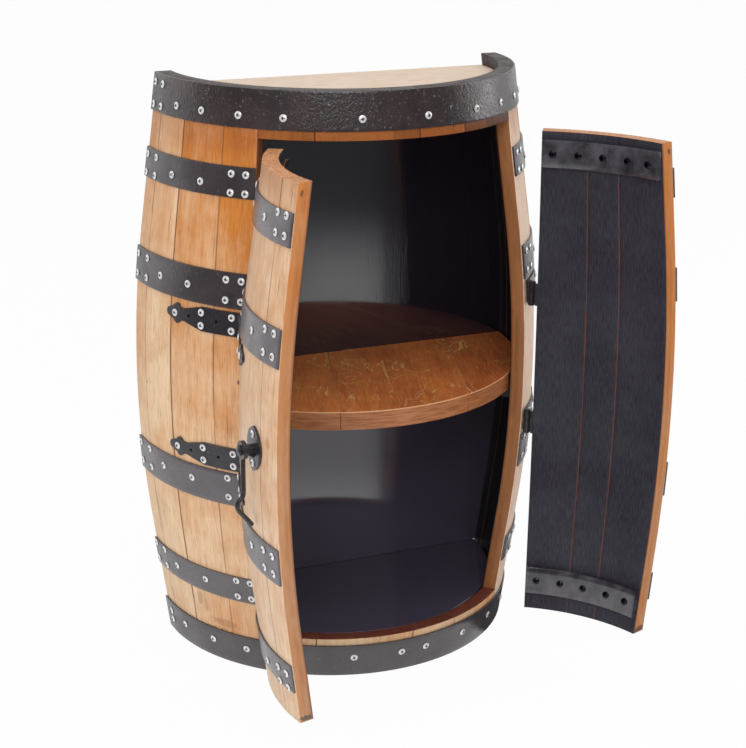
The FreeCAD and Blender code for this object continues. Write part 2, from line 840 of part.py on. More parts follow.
def make_hinges():
    """Both doors' leaves and pins. Returns the screw placements by what the leaves are fixed to."""
    places = {"side": [], "left": [], "right": []}
    pins = []
    for side, axis, outward, swing in (("left", left_axis.value, -1, LEFT_SWING),
                                       ("right", right_axis.value, 1, RIGHT_SWING)):
        for strap, (low, high) in STRAP_LEVELS.items():
            lower, middle, upper = knuckle_levels(low, high)
            for leaf, sign, knuckles, fixed_to, pose in (("side", outward, (lower, upper), "side", REST),
                                                         ("door", -outward, (middle,), side, swing)):
                screws = strap_places(STRAP_SCREWS, sign, strap, axis)
                empty = strap_places(STRAP_EMPTY_HOLES, sign, strap, axis)
                make_leaf(f"{side}_{strap}_{leaf}_leaf", sign, strap, knuckles, axis, screws + empty, pose)
                places[fixed_to] += screws
            pins.append(make_pin(f"{side}_{strap}_pin", low, high, axis))
    group("hinge_pins", pins)
    return places


def make_pin(name, low, high, axis):
    body = new_body(name)
    profile = new_sketch(body, "XZ_Plane", "Profile")
    head, rise, gap = size.pin_head_radius, size.pin_head_height, size.pin_clearance
    draw(profile, [
        (0, low - gap - rise),
        (head / 2, low - gap - rise),
        (head, low - gap - rise / 2),
        (head, low - gap),
        (size.pin_radius, low - gap),
        (size.pin_radius, high + gap),
        (head, high + gap),
        (head, high + gap + rise / 2),
        (head / 2, high + gap + rise),
        (0, high + gap + rise),
    ])
    revolve(body, profile, 360)
    body.Placement = Placement(direction(axis) * axis_radius.value, Rotation())
    return body


# ---------------------------------------------------------------------------------------------------
# Latch and keeper
# ---------------------------------------------------------------------------------------------------

# Distances from the barrel's axis along the latch's own direction.
latch_face = barrel_radius(latch_level) + size.latch_seat + size.latch_steel
eye_near = latch_face + size.boss_height + size.eye_side_gap
eye_middle = eye_near + size.eye_thickness / 2
knob_near = eye_near + size.eye_thickness + size.eye_side_gap
# The hook's curve turns inwards through an angle with this cosine and sine, each times its radius.
curve_rest = size.hook_curve_radius - size.hook_curve_in
curve_drop = root(size.hook_curve_radius * size.hook_curve_radius - curve_rest * curve_rest)
# The raised hook's straight tip where it crosses the keeper.
past_curve = size.keeper_reach - size.hook_straight - size.hook_step_drop - curve_drop
rod_out = eye_middle + size.hook_step - size.hook_curve_in - past_curve * curve_drop / curve_rest
rod_radius = root(rod_out * rod_out + size.keeper_reach * size.keeper_reach)
keeper_angle = size.latch_angle.value + math.atan2(size.keeper_reach.value, rod_out.value) * DEGREES


def lens_plate(body, half_height, half_width):
    """Plate bent to the barrel, its outline two arcs that meet in a tip above and below."""
    low, high = latch_level - half_height, latch_level + half_height
    shell = new_sketch(body, "XZ_Plane", "Shell")
    band_section(shell, low, high, barrel_radius, size.latch_steel, size.latch_seat)
    revolve(body, shell, 4 * DEGREES * half_width / barrel_radius(latch_level))
    outline = new_sketch(body, "YZ_Plane", "Outline")
    far, beyond = 4 * half_width, half_height
    draw(outline, [(-far, low - beyond), (far, low - beyond), (far, high + beyond), (-far, high + beyond)])
    bow = (half_height * half_height + half_width * half_width) / (2 * half_width)
    draw(outline, [(0, low), (0, high)], {0: (bow, 1), 1: (bow, 1)})
    cut_through(body, outline)


def plate_places(angle, half_height, reach):
    low, high = latch_level - half_height, latch_level + half_height
    stand_off = size.latch_seat.value + size.latch_steel.value
    return [place_on_band(angle, latch_level.value + up * reach, low, high, barrel_radius, stand_off)
            for up in (1, -1)]


def make_latch_plate():
    """Plate with a turned post, whose knob keeps the hook's eye on, and a gusset under the boss."""
    blank = new_body("latch_plate_blank")
    lens_plate(blank, size.latch_half_height, size.latch_half_width)
    inside = latch_face - size.latch_steel / 2
    gusset = new_sketch(blank, "XZ_Plane", "Gusset", {"y": latch_level})
    draw(gusset, [(inside, -size.gusset_length), (inside, 0), (eye_near - 2, 0),
                  (eye_near - 2, -size.boss_radius)])
    pad(blank, gusset, size.gusset_thickness, middle=True)
    post = new_sketch(blank, "XZ_Plane", "Post", {"y": latch_level})
    knob_far = knob_near + size.knob_height
    rise, knob = size.knob_dome_rise, size.knob_radius
    draw(post, [
        (inside, 0),
        (inside, size.boss_radius),
        (latch_face + size.boss_height, size.boss_radius),
        (latch_face + size.boss_height, size.post_radius),
        (knob_near, size.post_radius),
        (knob_near, knob),
        (knob_far - rise, knob),
        (knob_far, 0),
    ], {6: ((knob * knob + rise * rise) / (2 * rise), -1)})
    revolve(blank, post, 360, about="H_Axis")
    blank.Placement = turned_to(size.latch_angle.value)
    places = plate_places(size.latch_angle.value, size.latch_half_height, size.latch_screw_reach.value)
    drilled("latch_plate", blank, places, LEFT_SWING)
    return places


def make_latch_hook():
    """Round rod hanging from an eye: straight, a step outwards, then a curve in to its straight tip."""
    body = new_body("latch_hook")
    eye = new_sketch(body, "XZ_Plane", "Eye", {"y": latch_level})
    bore = size.post_radius + size.eye_clearance
    draw(eye, [(eye_near, bore), (eye_near + size.eye_thickness, bore),
               (eye_near + size.eye_thickness, size.eye_radius), (eye_near, size.eye_radius)])
    revolve(body, eye, 360, about="H_Axis")
    start = greater(size.boss_radius, size.knob_radius) + size.eye_side_gap
    step, drop = size.hook_step, size.hook_step_drop
    half_step_radius = (step * step + drop * drop) / (4 * step)
    below_step = size.hook_straight + drop
    curve_end = (eye_middle + step - size.hook_curve_in, -(below_step + curve_drop))
    share = size.hook_tip_length / size.hook_curve_radius
    path = new_sketch(body, "XZ_Plane", "Path", {"y": latch_level})
    corners = [
        (eye_middle, -start),
        (eye_middle, -size.hook_straight),
        (eye_middle + step / 2, -(size.hook_straight + drop / 2)),
        (eye_middle + step, -below_step),
        curve_end,
        (curve_end[0] - share * curve_drop, curve_end[1] - share * curve_rest),
    ]
    curves = {1: (half_step_radius, 1), 2: (half_step_radius, -1), 3: (size.hook_curve_radius, -1)}
    draw(path, corners, curves, closed=False)
    rod = new_sketch(body, "XY_Plane", "Rod", {"z": latch_level - start})
    draw_circle(rod, eye_middle, 0, size.hook_rod_radius)
    bar = body.newObject("PartDesign::AdditivePipe", "Bar")
    bar.Profile = (rod, [""])
    bar.Spine = path
    tip = body.newObject("PartDesign::AdditiveSphere", "Tip")
    tip.setExpression("Radius", size.hook_rod_radius.text)
    across, up = corners[-1]
    tip.Placement = Placement(Vector(across.value, 0, latch_level.value + up.value), Rotation())
    body.Placement = turned_to(size.latch_angle.value)
    finished(body, "latch_hook", LEFT_SWING)


def make_keeper():
    """Plate with an upright fork, open above, that the raised hook's rod drops into."""
    blank = new_body("keeper_blank")
    lens_plate(blank, size.keeper_half_height, size.keeper_half_width)
    fork = new_sketch(blank, "XZ_Plane", "Fork", {"y": latch_level})
    foot = latch_face - size.latch_steel / 2
    near, far = rod_radius - size.hook_rod_radius, rod_radius + size.hook_rod_radius
    near, far = near - size.fork_clearance, far + size.fork_clearance
    seat = -(size.hook_rod_radius + size.knuckle_gap)
    base = seat - size.fork_wall
    draw(fork, [
        (foot, base - size.fork_brace),
        (near, base),
        (far + size.fork_wall, base),
        (far + size.fork_wall, size.fork_rise),
        (far, size.fork_rise),
        (far, seat),
        (near, seat),
        (near, size.fork_rise),
        (near - size.fork_wall, size.fork_rise),
        (foot, size.hook_rod_radius),
    ])
    pad(blank, fork, size.fork_thickness, middle=True)
    blank.Placement = turned_to(keeper_angle)
    places = plate_places(keeper_angle, size.keeper_half_height, size.keeper_screw_reach.value)
    drilled("keeper", blank, places, RIGHT_SWING)
    return places


# ---------------------------------------------------------------------------------------------------
# Doors
# ---------------------------------------------------------------------------------------------------


def make_battens(side, first, last, swing):
    """Two battens bent to the inside of a door. Returns their screws' placements."""
    levels = ((size.bottom_batten_from, size.bottom_batten_to),
              (size.stave_height - size.top_batten_from, size.stave_height - size.top_batten_to))
    first = first + size.batten_end_angle
    last = last - (size.left_batten_seam_angle if side == "left" else size.batten_end_angle)
    battens = []
    places = []
    face = -(size.wood_gap.value + size.batten_thickness.value + 2 * size.screw_seat.value)
    for name, (low, high) in zip(("bottom", "top"), levels):
        battens.append(ring_piece(
            f"{side}_{name}_batten", first, last,
            lambda sketch: band_section(sketch, low, high, inner_radius, -size.batten_thickness,
                                        -size.wood_gap), node=False))
        for share in BATTEN_SCREW_SHARES:
            angle = first.value + (last.value - first.value) * (share if side == "right" else 1 - share)
            level = (low.value + high.value) / 2
            places.append(inward(place_on_band(angle, level, low, high, inner_radius, face)))
    group(f"{side}_door_battens", battens, swing)
    return places


def make_door(side, joints, swing):
    """A door's staves, hoop segments and battens. Returns the placements of its two kinds of screws."""
    for number, (first, last) in enumerate(zip(joints, joints[1:]), start=1):
        ring_piece(f"{side}_door_stave_{number}", first, last,
                   lambda sketch: bowed_section(sketch, door_low, door_high), swing)
    hoop_spots = make_door_hoops(side, joints[0], joints[-1], swing)
    batten_spots = make_battens(side, joints[0], joints[-1], swing)
    return hoop_spots, batten_spots


# ---------------------------------------------------------------------------------------------------
# The cabinet
# ---------------------------------------------------------------------------------------------------

SCREW = make_screw()
doc.recompute()

make_side_staves()
make_stave_ends()
make_heads()
make_back_panel()
make_shelf()
make_cleats()
carcass_screws = make_head_hoops() + make_side_hoops()
leaf_screws = make_hinges()

left_joints = [size.opening_left + door_gap_angle, size.left_door_joint_1, size.left_door_joint_2,
               size.door_seam - half_seam_angle]
right_joints = [size.door_seam + half_seam_angle, size.right_door_joint_1, size.right_door_joint_2,
                size.opening_right - door_gap_angle]
left_hoop_screws, left_batten_screws = make_door("left", left_joints, LEFT_SWING)
right_hoop_screws, right_batten_screws = make_door("right", right_joints, RIGHT_SWING)
latch_screws = make_latch_plate()
make_latch_hook()
keeper_screws = make_keeper()

screw_group("carcass_hoop_screws", carcass_screws)
screw_group("carcass_hinge_screws", leaf_screws["side"])
screw_group("left_door_bright_screws", left_hoop_screws + leaf_screws["left"] + latch_screws, LEFT_SWING)
screw_group("left_batten_screws", left_batten_screws, LEFT_SWING)
screw_group("right_door_bright_screws", right_hoop_screws + leaf_screws["right"] + keeper_screws,
            RIGHT_SWING)
screw_group("right_batten_screws", right_batten_screws, RIGHT_SWING)
doc.recompute()

# ---------------------------------------------------------------------------------------------------
# Checks and files
# ---------------------------------------------------------------------------------------------------

for thing in doc.Objects:
    if "Invalid" in thing.State or "Error" in thing.State:
        raise RuntimeError(f"{thing.Label} failed: {thing.State}")

os.makedirs("parts", exist_ok=True)
for node in NODES:
    if node.Shape.isNull() or not node.Shape.isValid() or not node.Shape.Solids:
        raise RuntimeError(f"{node.Label} has no valid solid")
    node.Shape.exportStep(f"parts/{node.Label}.step")

for side, axis in (("left", left_axis), ("right", right_axis)):
    point = direction(axis.value) * axis_radius.value
    print(f"{side} hinge axis at x {point.x:.3f}, y {point.y:.3f}")
pivot = LEFT_SWING.multVec(direction(size.latch_angle.value) * eye_middle.value + UP * latch_level.value)
way = LEFT_SWING.Rotation.multVec(direction(size.latch_angle.value))
print(f"latch pivot at {pivot.x:.3f}, {pivot.y:.3f}, {pivot.z:.3f}, along {way.x:.6f}, {way.y:.6f}")
print(f"{len(NODES)} nodes written")
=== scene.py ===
import json
import math

import bpy
import numpy as np
from mathutils import Matrix, Vector, noise

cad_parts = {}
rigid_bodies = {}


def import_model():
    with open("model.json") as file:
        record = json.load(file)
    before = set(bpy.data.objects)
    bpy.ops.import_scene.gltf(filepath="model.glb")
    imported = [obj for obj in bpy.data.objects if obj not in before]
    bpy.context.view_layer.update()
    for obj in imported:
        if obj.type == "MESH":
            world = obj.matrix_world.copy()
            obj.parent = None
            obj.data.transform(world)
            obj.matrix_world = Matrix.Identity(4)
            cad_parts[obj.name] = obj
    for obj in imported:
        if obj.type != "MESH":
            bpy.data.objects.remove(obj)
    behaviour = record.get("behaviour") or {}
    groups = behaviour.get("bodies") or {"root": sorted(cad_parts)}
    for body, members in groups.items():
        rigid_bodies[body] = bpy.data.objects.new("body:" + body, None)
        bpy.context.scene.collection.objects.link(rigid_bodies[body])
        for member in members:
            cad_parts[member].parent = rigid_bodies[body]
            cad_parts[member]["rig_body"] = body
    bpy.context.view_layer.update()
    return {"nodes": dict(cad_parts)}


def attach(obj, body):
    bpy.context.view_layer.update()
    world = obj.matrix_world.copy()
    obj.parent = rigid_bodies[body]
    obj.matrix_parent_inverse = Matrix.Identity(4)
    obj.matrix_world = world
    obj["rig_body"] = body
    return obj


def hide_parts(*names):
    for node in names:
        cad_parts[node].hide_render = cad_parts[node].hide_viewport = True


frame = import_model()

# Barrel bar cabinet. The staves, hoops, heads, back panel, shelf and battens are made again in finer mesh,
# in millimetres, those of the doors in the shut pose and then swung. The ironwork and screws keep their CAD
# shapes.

# ---- Sizes, in millimetres and degrees round the barrel from the front (-Y) to the right (+X) ----

STAVE_HEIGHT = 880
STAVE_THICKNESS = 22
BILGE_RADIUS = 317
BILGE_LEVEL = 430
BEND_RADIUS = 1720
BEND_REACH = 235

STAVE_JOINTS = {"left": [-90, -82.5, -69.5, -54, -43], "right": [45, 58, 72, 84, 90]}
OPENING_JOINTS = [-43, -26.5, -4, 4, 20, 30, 45]
DOOR_GAP_ANGLE = math.degrees(2.5 / BILGE_RADIUS)
SEAM_GAP_ANGLE = math.degrees(1 / BILGE_RADIUS)
DOOR_JOINTS = {
    "left": [-43 + DOOR_GAP_ANGLE, -26.5, -4, 4 - SEAM_GAP_ANGLE],
    "right": [4 + SEAM_GAP_ANGLE, 20, 30, 45 - DOOR_GAP_ANGLE],
}
OPENING_LOW, OPENING_HIGH = 63, 813
DOOR_LOW, DOOR_HIGH = 65.5, 810.5

HOOP_LEVELS = {
    "lower_quarter": (114, 156),
    "lower_bilge": (277, 329),
    "upper_bilge": (576, 627),
    "upper_quarter": (730, 773),
}
HEAD_HOOPS = {"top_head_hoop": (826, 880), "bottom_head_hoop": (0, 52)}
HOOP_GAP = 0.3
HOOP_THICKNESS = 2.7
TOP_HEAD = (840, 862)
BOTTOM_HEAD = (39, 61)
PANEL_THICKNESS = 6
SHELF = (398.5, 426)
SHELF_RADIUS = 291
BATTENS = [(93, 134), (758, 799)]
BATTEN_THICKNESS = 9
BATTEN_END_ANGLES = {"left": (0.6, 4.8), "right": (0.2, 0.2)}
SCREW_LENGTH = 16
SCREW_RECESS = (0.9, 1.5)      # height of its floor above the head's underside, and its arms' least reach
JOINT_GAP = 0.3                # between a head, panel or batten and what it fits into
SHELF_SKEW = -18               # the shelf boards' turn from square to the back
SHELF_JOINTS = [-400, -7, 187, 400]
SHELF_SEAM = 0.12              # how far each shelf board stops short of a joint
HALF_DISC_POINTS = 96
SHARP_ANGLE, ROUNDED_ANGLE = 42, 35
PLACE_RADIUS = 0.3             # metres on the textures' map for each radian round the barrel
FAR_FROM_EDGE = 0.02           # metres from a joint, given to boards that show no line there

# Hinge axis and swing from shut of each door.
HINGES = {"left": ((-225.440, -230.614), -81), "right": ((233.351, -222.606), 103)}


def barrel_radius(level):
    """Outside radius of the staves at a level."""
    run = abs(level - BILGE_LEVEL)
    on_arc = min(run, BEND_REACH)
    sag = BEND_RADIUS - math.sqrt(BEND_RADIUS ** 2 - on_arc ** 2)
    slope = BEND_REACH / math.sqrt(BEND_RADIUS ** 2 - BEND_REACH ** 2)
    return BILGE_RADIUS - sag - max(run - BEND_REACH, 0) * slope


def hoop_radius(levels):
    """Outside radius of a straight-sided band that stands just clear of the staves."""
    low, high = levels

    def radius(level):
        share = (level - low) / (high - low)
        return barrel_radius(low) * (1 - share) + barrel_radius(high) * share + HOOP_GAP + HOOP_THICKNESS

    return radius


def swung(point, door):
    """A point of a shut door, where the open door has it."""
    if door is None:
        return point
    (x, y), angle = HINGES[door]
    turn = math.radians(angle)
    across, along = point[0] - x, point[1] - y
    return (x + across * math.cos(turn) - along * math.sin(turn),
            y + across * math.sin(turn) + along * math.cos(turn), point[2])


# ---- Mesh making ----

# Corner sections of a bar: (inset from the joint, depth) from the outer face, then from the inner face,
# and how dark a line the joint shows.
INNER_VEE = [(0.02, 1.2), (0.3, 0.35), (0.9, 0)]
GLUED = ([(1.1, 0), (0.45, 0.12), (0.22, 0.5), (0.2, 2.4), (0.02, 2.8)], INNER_VEE, 0.6)
TIGHT = ([(0.9, 0), (0.25, 0.05), (0.08, 0.3), (0.06, 1), (0.02, 1.2)], INNER_VEE, 0.6)
CLOSED = ([(0.3, 0), (0.1, 0.03), (0.04, 0.2), (0.03, 0.6), (0.02, 1)], INNER_VEE, 0.05)
SPLIT = ([(1.4, 0), (0.8, 0.2), (0.55, 0.8), (0.5, 4), (0.02, 4.6)], INNER_VEE, 1.0)
SAWN = ([(1.3, 0), (0.5, 0.25), (0.1, 0.8), (0, 1.6)], [(0, 1.2), (0.25, 0.3), (1, 0)], 0.0)
ROLLED = ([(0.5, 0), (0.12, 0.15), (0, 0.5)], [(0, 0.4), (0.12, 0.12), (0.4, 0)], 0.0)


class Part:
    """Vertices, faces and per-vertex places of one or more closed bars that make one piece."""

    def __init__(self):
        self.points = []
        self.faces = []
        self.place = []
        self.board = []
        self.joint = []

    def ring(self, points, place, board, joint=None):
        start = len(self.points)
        self.points += points
        self.place += place
        self.board += board
        self.joint += joint or [0.0] * len(points)
        return list(range(start, start + len(points)))

    def skin(self, rings):
        """Quads between rings that run anticlockwise seen from the last one, and a face over each end."""
        count = len(rings[0])
        for below, above in zip(rings, rings[1:]):
            for here in range(count):
                after = (here + 1) % count
                self.faces.append((below[here], below[after], above[after], above[here]))
        self.faces.append(tuple(reversed(rings[0])))
        self.faces.append(tuple(rings[-1]))


def stepped(low, high, step):
    return list(np.linspace(low, high, max(2, math.ceil((high - low) / step) + 1)))


def curved_bar(part, angles, levels, thickness, edges, outer=barrel_radius, tone=0.5, seed=0.0, arc_step=1.6,
               level_step=12, arris=0.7, door=None, dent=None, waver=0.0):
    """Bar that follows the barrel between two angles and two levels.

    edges gives the corner sections at the first and last angle. dent(angle, level) is how far the outer
    face is pushed in, and waver how far the edges of its joints wander below the surface.
    """
    first, last = angles
    low, high = levels
    spread = stepped(first, last, arc_step)[1:-1]
    section = []          # angle of the joint or spot, way in from it, inset, depth, measured from outside
    start, end = edges
    section += [(first, 1, inset, depth, True) for inset, depth in reversed(start[0])]
    section += [(angle, 0, 0, 0, True) for angle in spread]
    section += [(last, -1, inset, depth, True) for inset, depth in end[0]]
    section += [(last, -1, inset, depth, False) for inset, depth in end[1]]
    section += [(angle, 0, 0, 0, False) for angle in reversed(spread)]
    section += [(first, 1, inset, depth, False) for inset, depth in reversed(start[1])]
    middle = stepped(low + arris, high - arris, level_step)
    eased = 0.3 * arris
    heights = [(low, arris), (low + eased, eased)] + [(level, 0) for level in middle]
    heights += [(high - eased, eased), (high, arris)]
    rings = []
    for level, shrink in heights:
        radius = outer(level)
        points, place, board, joint = [], [], [], []
        for angle, way, inset, depth, outside in section:
            depth = min(max(depth if outside else thickness - depth, shrink), thickness - shrink)
            if dent and outside and way == 0:
                depth += dent(angle, level)
            if waver and way and outside and depth > 0.3:
                inset += waver * (0.5 + 0.5 * noise.noise(Vector((angle, level / 45, seed))))
            out = radius - depth
            spot = math.radians(angle) + way * max(inset, shrink if way else 0) / out
            point = (out * math.sin(spot), -out * math.cos(spot), level)
            points.append(swung(point, door))
            place.append((spot * PLACE_RADIUS, depth / 1000, level / 1000))
            margin = min(spot - math.radians(first), math.radians(last) - spot) * out / 1000
            board.append((max(margin, 0), tone, seed))
            joint.append(start[2] if angle - first < last - angle else end[2])
        rings.append(part.ring(points, place, board, joint))
    part.skin(rings)


def clipped(outline, normal, limit):
    """The part of a convex outline where the distance along the normal is under the limit."""
    kept = []
    for here, after in zip(outline, outline[1:] + outline[:1]):
        ahead = here[0] * normal[0] + here[1] * normal[1] - limit
        beyond = after[0] * normal[0] + after[1] * normal[1] - limit
        if ahead <= 0:
            kept.append(here)
        if ahead * beyond < 0:
            share = ahead / (ahead - beyond)
            kept.append((here[0] + (after[0] - here[0]) * share, here[1] + (after[1] - here[1]) * share))
    return kept


def slab(part, outline, low, high, along, seed, tone=0.5, upright=False):
    """Flat board with that outline; along is its grain's direction. Upright boards stand in the XZ plane."""
    rings = []
    for level in (low, high):
        points, place, board = [], [], []
        for x, y in outline:
            points.append((x, -level, y) if upright else (x, y, level))
            across = x * along[1] - y * along[0]
            place.append((across / 1000, level / 1000, (x * along[0] + y * along[1]) / 1000))
            board.append((FAR_FROM_EDGE, tone, seed))
        rings.append(part.ring(points, place, board))
    if upright:
        rings.reverse()
    part.skin(rings)


def placed(name, data):
    """A new object in the scene."""
    thing = bpy.data.objects.new(name, data)
    bpy.context.scene.collection.objects.link(thing)
    return thing


def add_piece(name, part, finish, body, node, soften=None):
    """Makes the object for a part, on its body and in the place of its CAD node."""
    mesh = bpy.data.meshes.new(name)
    mesh.from_pydata([tuple(value / 1000 for value in point) for point in part.points], [], part.faces)
    for key, values in (("place", part.place), ("board", part.board)):
        stored = mesh.attributes.new(key, "FLOAT_VECTOR", "POINT")
        stored.data.foreach_set("vector", np.array(values, np.float32).ravel())
    stored = mesh.attributes.new("joint", "FLOAT", "POINT")
    stored.data.foreach_set("value", np.array(part.joint, np.float32))
    mesh.polygons.foreach_set("use_smooth", [True] * len(mesh.polygons))
    mesh.set_sharp_from_angle(angle=math.radians(SHARP_ANGLE))
    mesh.materials.append(finish)
    mesh.validate()
    piece = placed(name, mesh)
    if soften:
        rounding = piece.modifiers.new("arris", "BEVEL")
        rounding.width = soften / 1000
        rounding.segments = 3
        rounding.limit_method = "ANGLE"
        rounding.angle_limit = math.radians(ROUNDED_ANGLE)
    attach(piece, body)
    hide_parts(node)


# ---- Shader helpers ----


def tone(*channels):
    """Linear colour from sRGB values of red, green and blue up to 255."""
    shares = [value / 255 for value in channels]
    linear = [share / 12.92 if share <= 0.04045 else ((share + 0.055) / 1.055) ** 2.4 for share in shares]
    return (*linear, 1)


class Nodes:
    """Short calls that add nodes to one tree."""

    def __init__(self, tree):
        self.tree = tree

    def add(self, kind, inputs=(), **settings):
        node = self.tree.nodes.new(kind if "NodeGroup" in kind else "ShaderNode" + kind)
        for key, value in settings.items():
            setattr(node, key, value)
        self.fill(node, dict(inputs))
        return node

    def fill(self, node, values):
        """Links or sets a node's inputs."""
        for key, value in values.items():
            socket = node.inputs[key]
            if isinstance(value, bpy.types.NodeSocket):
                self.tree.links.new(value, socket)
            else:
                socket.default_value = value

    def maths(self, operation, first, second=0.0, clamp=False):
        node = self.add("Math", {0: first, 1: second}, operation=operation, use_clamp=clamp)
        return node.outputs[0]

    def times(self, first, second):
        return self.maths("MULTIPLY", first, second)

    def plus(self, first, second):
        return self.maths("ADD", first, second)

    def minus(self, first, second):
        return self.maths("SUBTRACT", first, second)

    def most(self, first, second):
        return self.maths("MAXIMUM", first, second)

    def size(self, value):
        return self.maths("ABSOLUTE", value)

    def share(self, value):
        """The value, kept from 0 to 1."""
        return self.maths("ADD", value, 0.0, clamp=True)

    def scaled(self, vector, factors):
        return self.add("VectorMath", {0: vector, 1: factors}, operation="MULTIPLY").outputs[0]

    def moved(self, vector, shift):
        return self.add("VectorMath", {0: vector, 1: shift}, operation="ADD").outputs[0]

    def parts(self, vector):
        return self.add("SeparateXYZ", {0: vector}).outputs

    def joined(self, x, y, z):
        return self.add("CombineXYZ", {0: x, 1: y, 2: z}).outputs[0]

    def attribute(self, name, kind="Vector"):
        return self.add("Attribute", attribute_name=name).outputs[kind]

    def layout(self, mapped):
        """Place on the boards' own map, or in the object's axes for meshes that have no map."""
        return self.attribute("place") if mapped else self.add("TexCoord").outputs["Object"]

    def noise(self, vector, scale=1.0, detail=2.0, roughness=0.5, distortion=0.0):
        node = self.add("TexNoise", {"Vector": vector, "Scale": scale, "Detail": detail,
                                     "Roughness": roughness, "Distortion": distortion})
        return node.outputs[0]

    def cells(self, vector, feature="F1"):
        node = self.add("TexVoronoi", {"Vector": vector, "Scale": 1.0}, feature=feature)
        return node.outputs["Distance"]

    def between(self, value, low, high):
        """The value's share of the way from low to high, eased at both ends."""
        return self.add("MapRange", {0: value, 1: low, 2: high}, interpolation_type="SMOOTHSTEP").outputs[0]

    def mix(self, factor, first, second, how="MIX"):
        node = self.add("Mix", {0: factor, 6: first, 7: second}, data_type="RGBA", blend_type=how)
        return node.outputs[2]

    def darker(self, colour, factor, shade):
        return self.mix(factor, colour, shade, "MULTIPLY")

    def group(self, tree, **inputs):
        return self.add("ShaderNodeGroup", inputs, node_tree=tree).outputs

    def surface(self, colour, roughness, height, distance, strength, **sockets):
        """Principled surface with its relief, and the material's output."""
        shader = self.add("BsdfPrincipled", {"Base Color": colour, "Roughness": roughness})
        bump = self.add("Bump", {"Height": height, "Distance": distance, "Strength": strength})
        self.fill(shader, {"Normal": bump.outputs[0]})
        self.fill(shader, {key.replace("_", " "): value for key, value in sockets.items()})
        self.add("OutputMaterial", {0: shader.outputs[0]})


def new_finish(name):
    finish = bpy.data.materials.new(name)
    finish.use_nodes = True
    finish.node_tree.nodes.clear()
    return finish, Nodes(finish.node_tree)


def new_effect(name, takes, gives):
    """Empty node group with named inputs and outputs, its helper and its two end nodes."""
    tree = bpy.data.node_groups.new(name, "ShaderNodeTree")
    for title, kind, value in takes:
        socket = tree.interface.new_socket(title, in_out="INPUT", socket_type=kind)
        if value is not None:
            socket.default_value = value
    for title, kind in gives:
        tree.interface.new_socket(title, in_out="OUTPUT", socket_type=kind)
    net = Nodes(tree)
    return tree, net, net.add("NodeGroupInput").outputs, net.add("NodeGroupOutput").inputs


VECTOR, FLOAT = "NodeSocketVector", "NodeSocketFloat"

# ---- Shared effects ----


def make_grain():
    """Oak grain along the place's third axis: fibres, streaks, broad growth bands and pores."""
    tree, net, given, result = new_effect("oak_grain", [("Place", VECTOR, None), ("Seed", FLOAT, 0.0)],
                                          [("Fibre", FLOAT), ("Streak", FLOAT), ("Bands", FLOAT),
                                           ("Pores", FLOAT)])
    link = tree.links.new
    shift = net.joined(*(net.times(given["Seed"], rate) for rate in (3.1, 1.7, 2.3)))
    place = net.moved(given["Place"], shift)
    fibre = net.noise(net.scaled(place, (520, 160, 34)), detail=4, roughness=0.6, distortion=0.5)
    streak = net.noise(net.scaled(place, (80, 35, 8)), detail=5, roughness=0.6, distortion=1.1)
    swirl = net.noise(net.scaled(place, (26, 10, 1.4)), detail=2, roughness=0.45, distortion=0.5)
    bands = net.maths("SINE", net.times(swirl, 70))
    pores = net.noise(net.scaled(place, (1100, 300, 38)), detail=1)
    link(net.between(fibre, 0.25, 0.75), result["Fibre"])
    link(net.between(streak, 0.3, 0.7), result["Streak"])
    link(net.between(bands, -1, 1), result["Bands"])
    link(net.between(pores, 0.6, 0.68), result["Pores"])
    return tree


def make_mottle():
    """Uneven patches, with finer specks on them."""
    tree, net, given, result = new_effect("mottle", [("Place", VECTOR, None), ("Size", FLOAT, 0.05)],
                                          [("Patches", FLOAT), ("Specks", FLOAT)])
    spot = net.add("VectorMath", {0: given["Place"]}, operation="SCALE")
    tree.links.new(net.maths("DIVIDE", 1.0, given["Size"]), spot.inputs["Scale"])
    patches = net.noise(spot.outputs[0], detail=4, roughness=0.6)
    specks = net.noise(spot.outputs[0], scale=22, detail=2)
    tree.links.new(net.between(patches, 0.3, 0.7), result["Patches"])
    tree.links.new(net.between(specks, 0.45, 0.75), result["Specks"])
    return tree


def make_pebble():
    """Hammered lacquer: rounded pits a few millimetres wide, and the bright crests between them."""
    tree, net, given, result = new_effect("pebbled_lacquer",
                                          [("Place", VECTOR, None), ("Size", FLOAT, 0.004)],
                                          [("Height", FLOAT), ("Crests", FLOAT)])
    spot = net.add("VectorMath", {0: given["Place"]}, operation="SCALE")
    tree.links.new(net.maths("DIVIDE", 1.0, given["Size"]), spot.inputs["Scale"])
    wander = net.noise(spot.outputs[0], scale=0.8, detail=2, distortion=1.5)
    pits = net.cells(net.moved(spot.outputs[0], net.joined(wander, wander, wander)), feature="SMOOTH_F1")
    tree.links.new(net.plus(net.times(pits, 0.7), net.times(wander, 0.6)), result["Height"])
    tree.links.new(net.between(net.times(pits, wander), 0.33, 0.5), result["Crests"])
    return tree


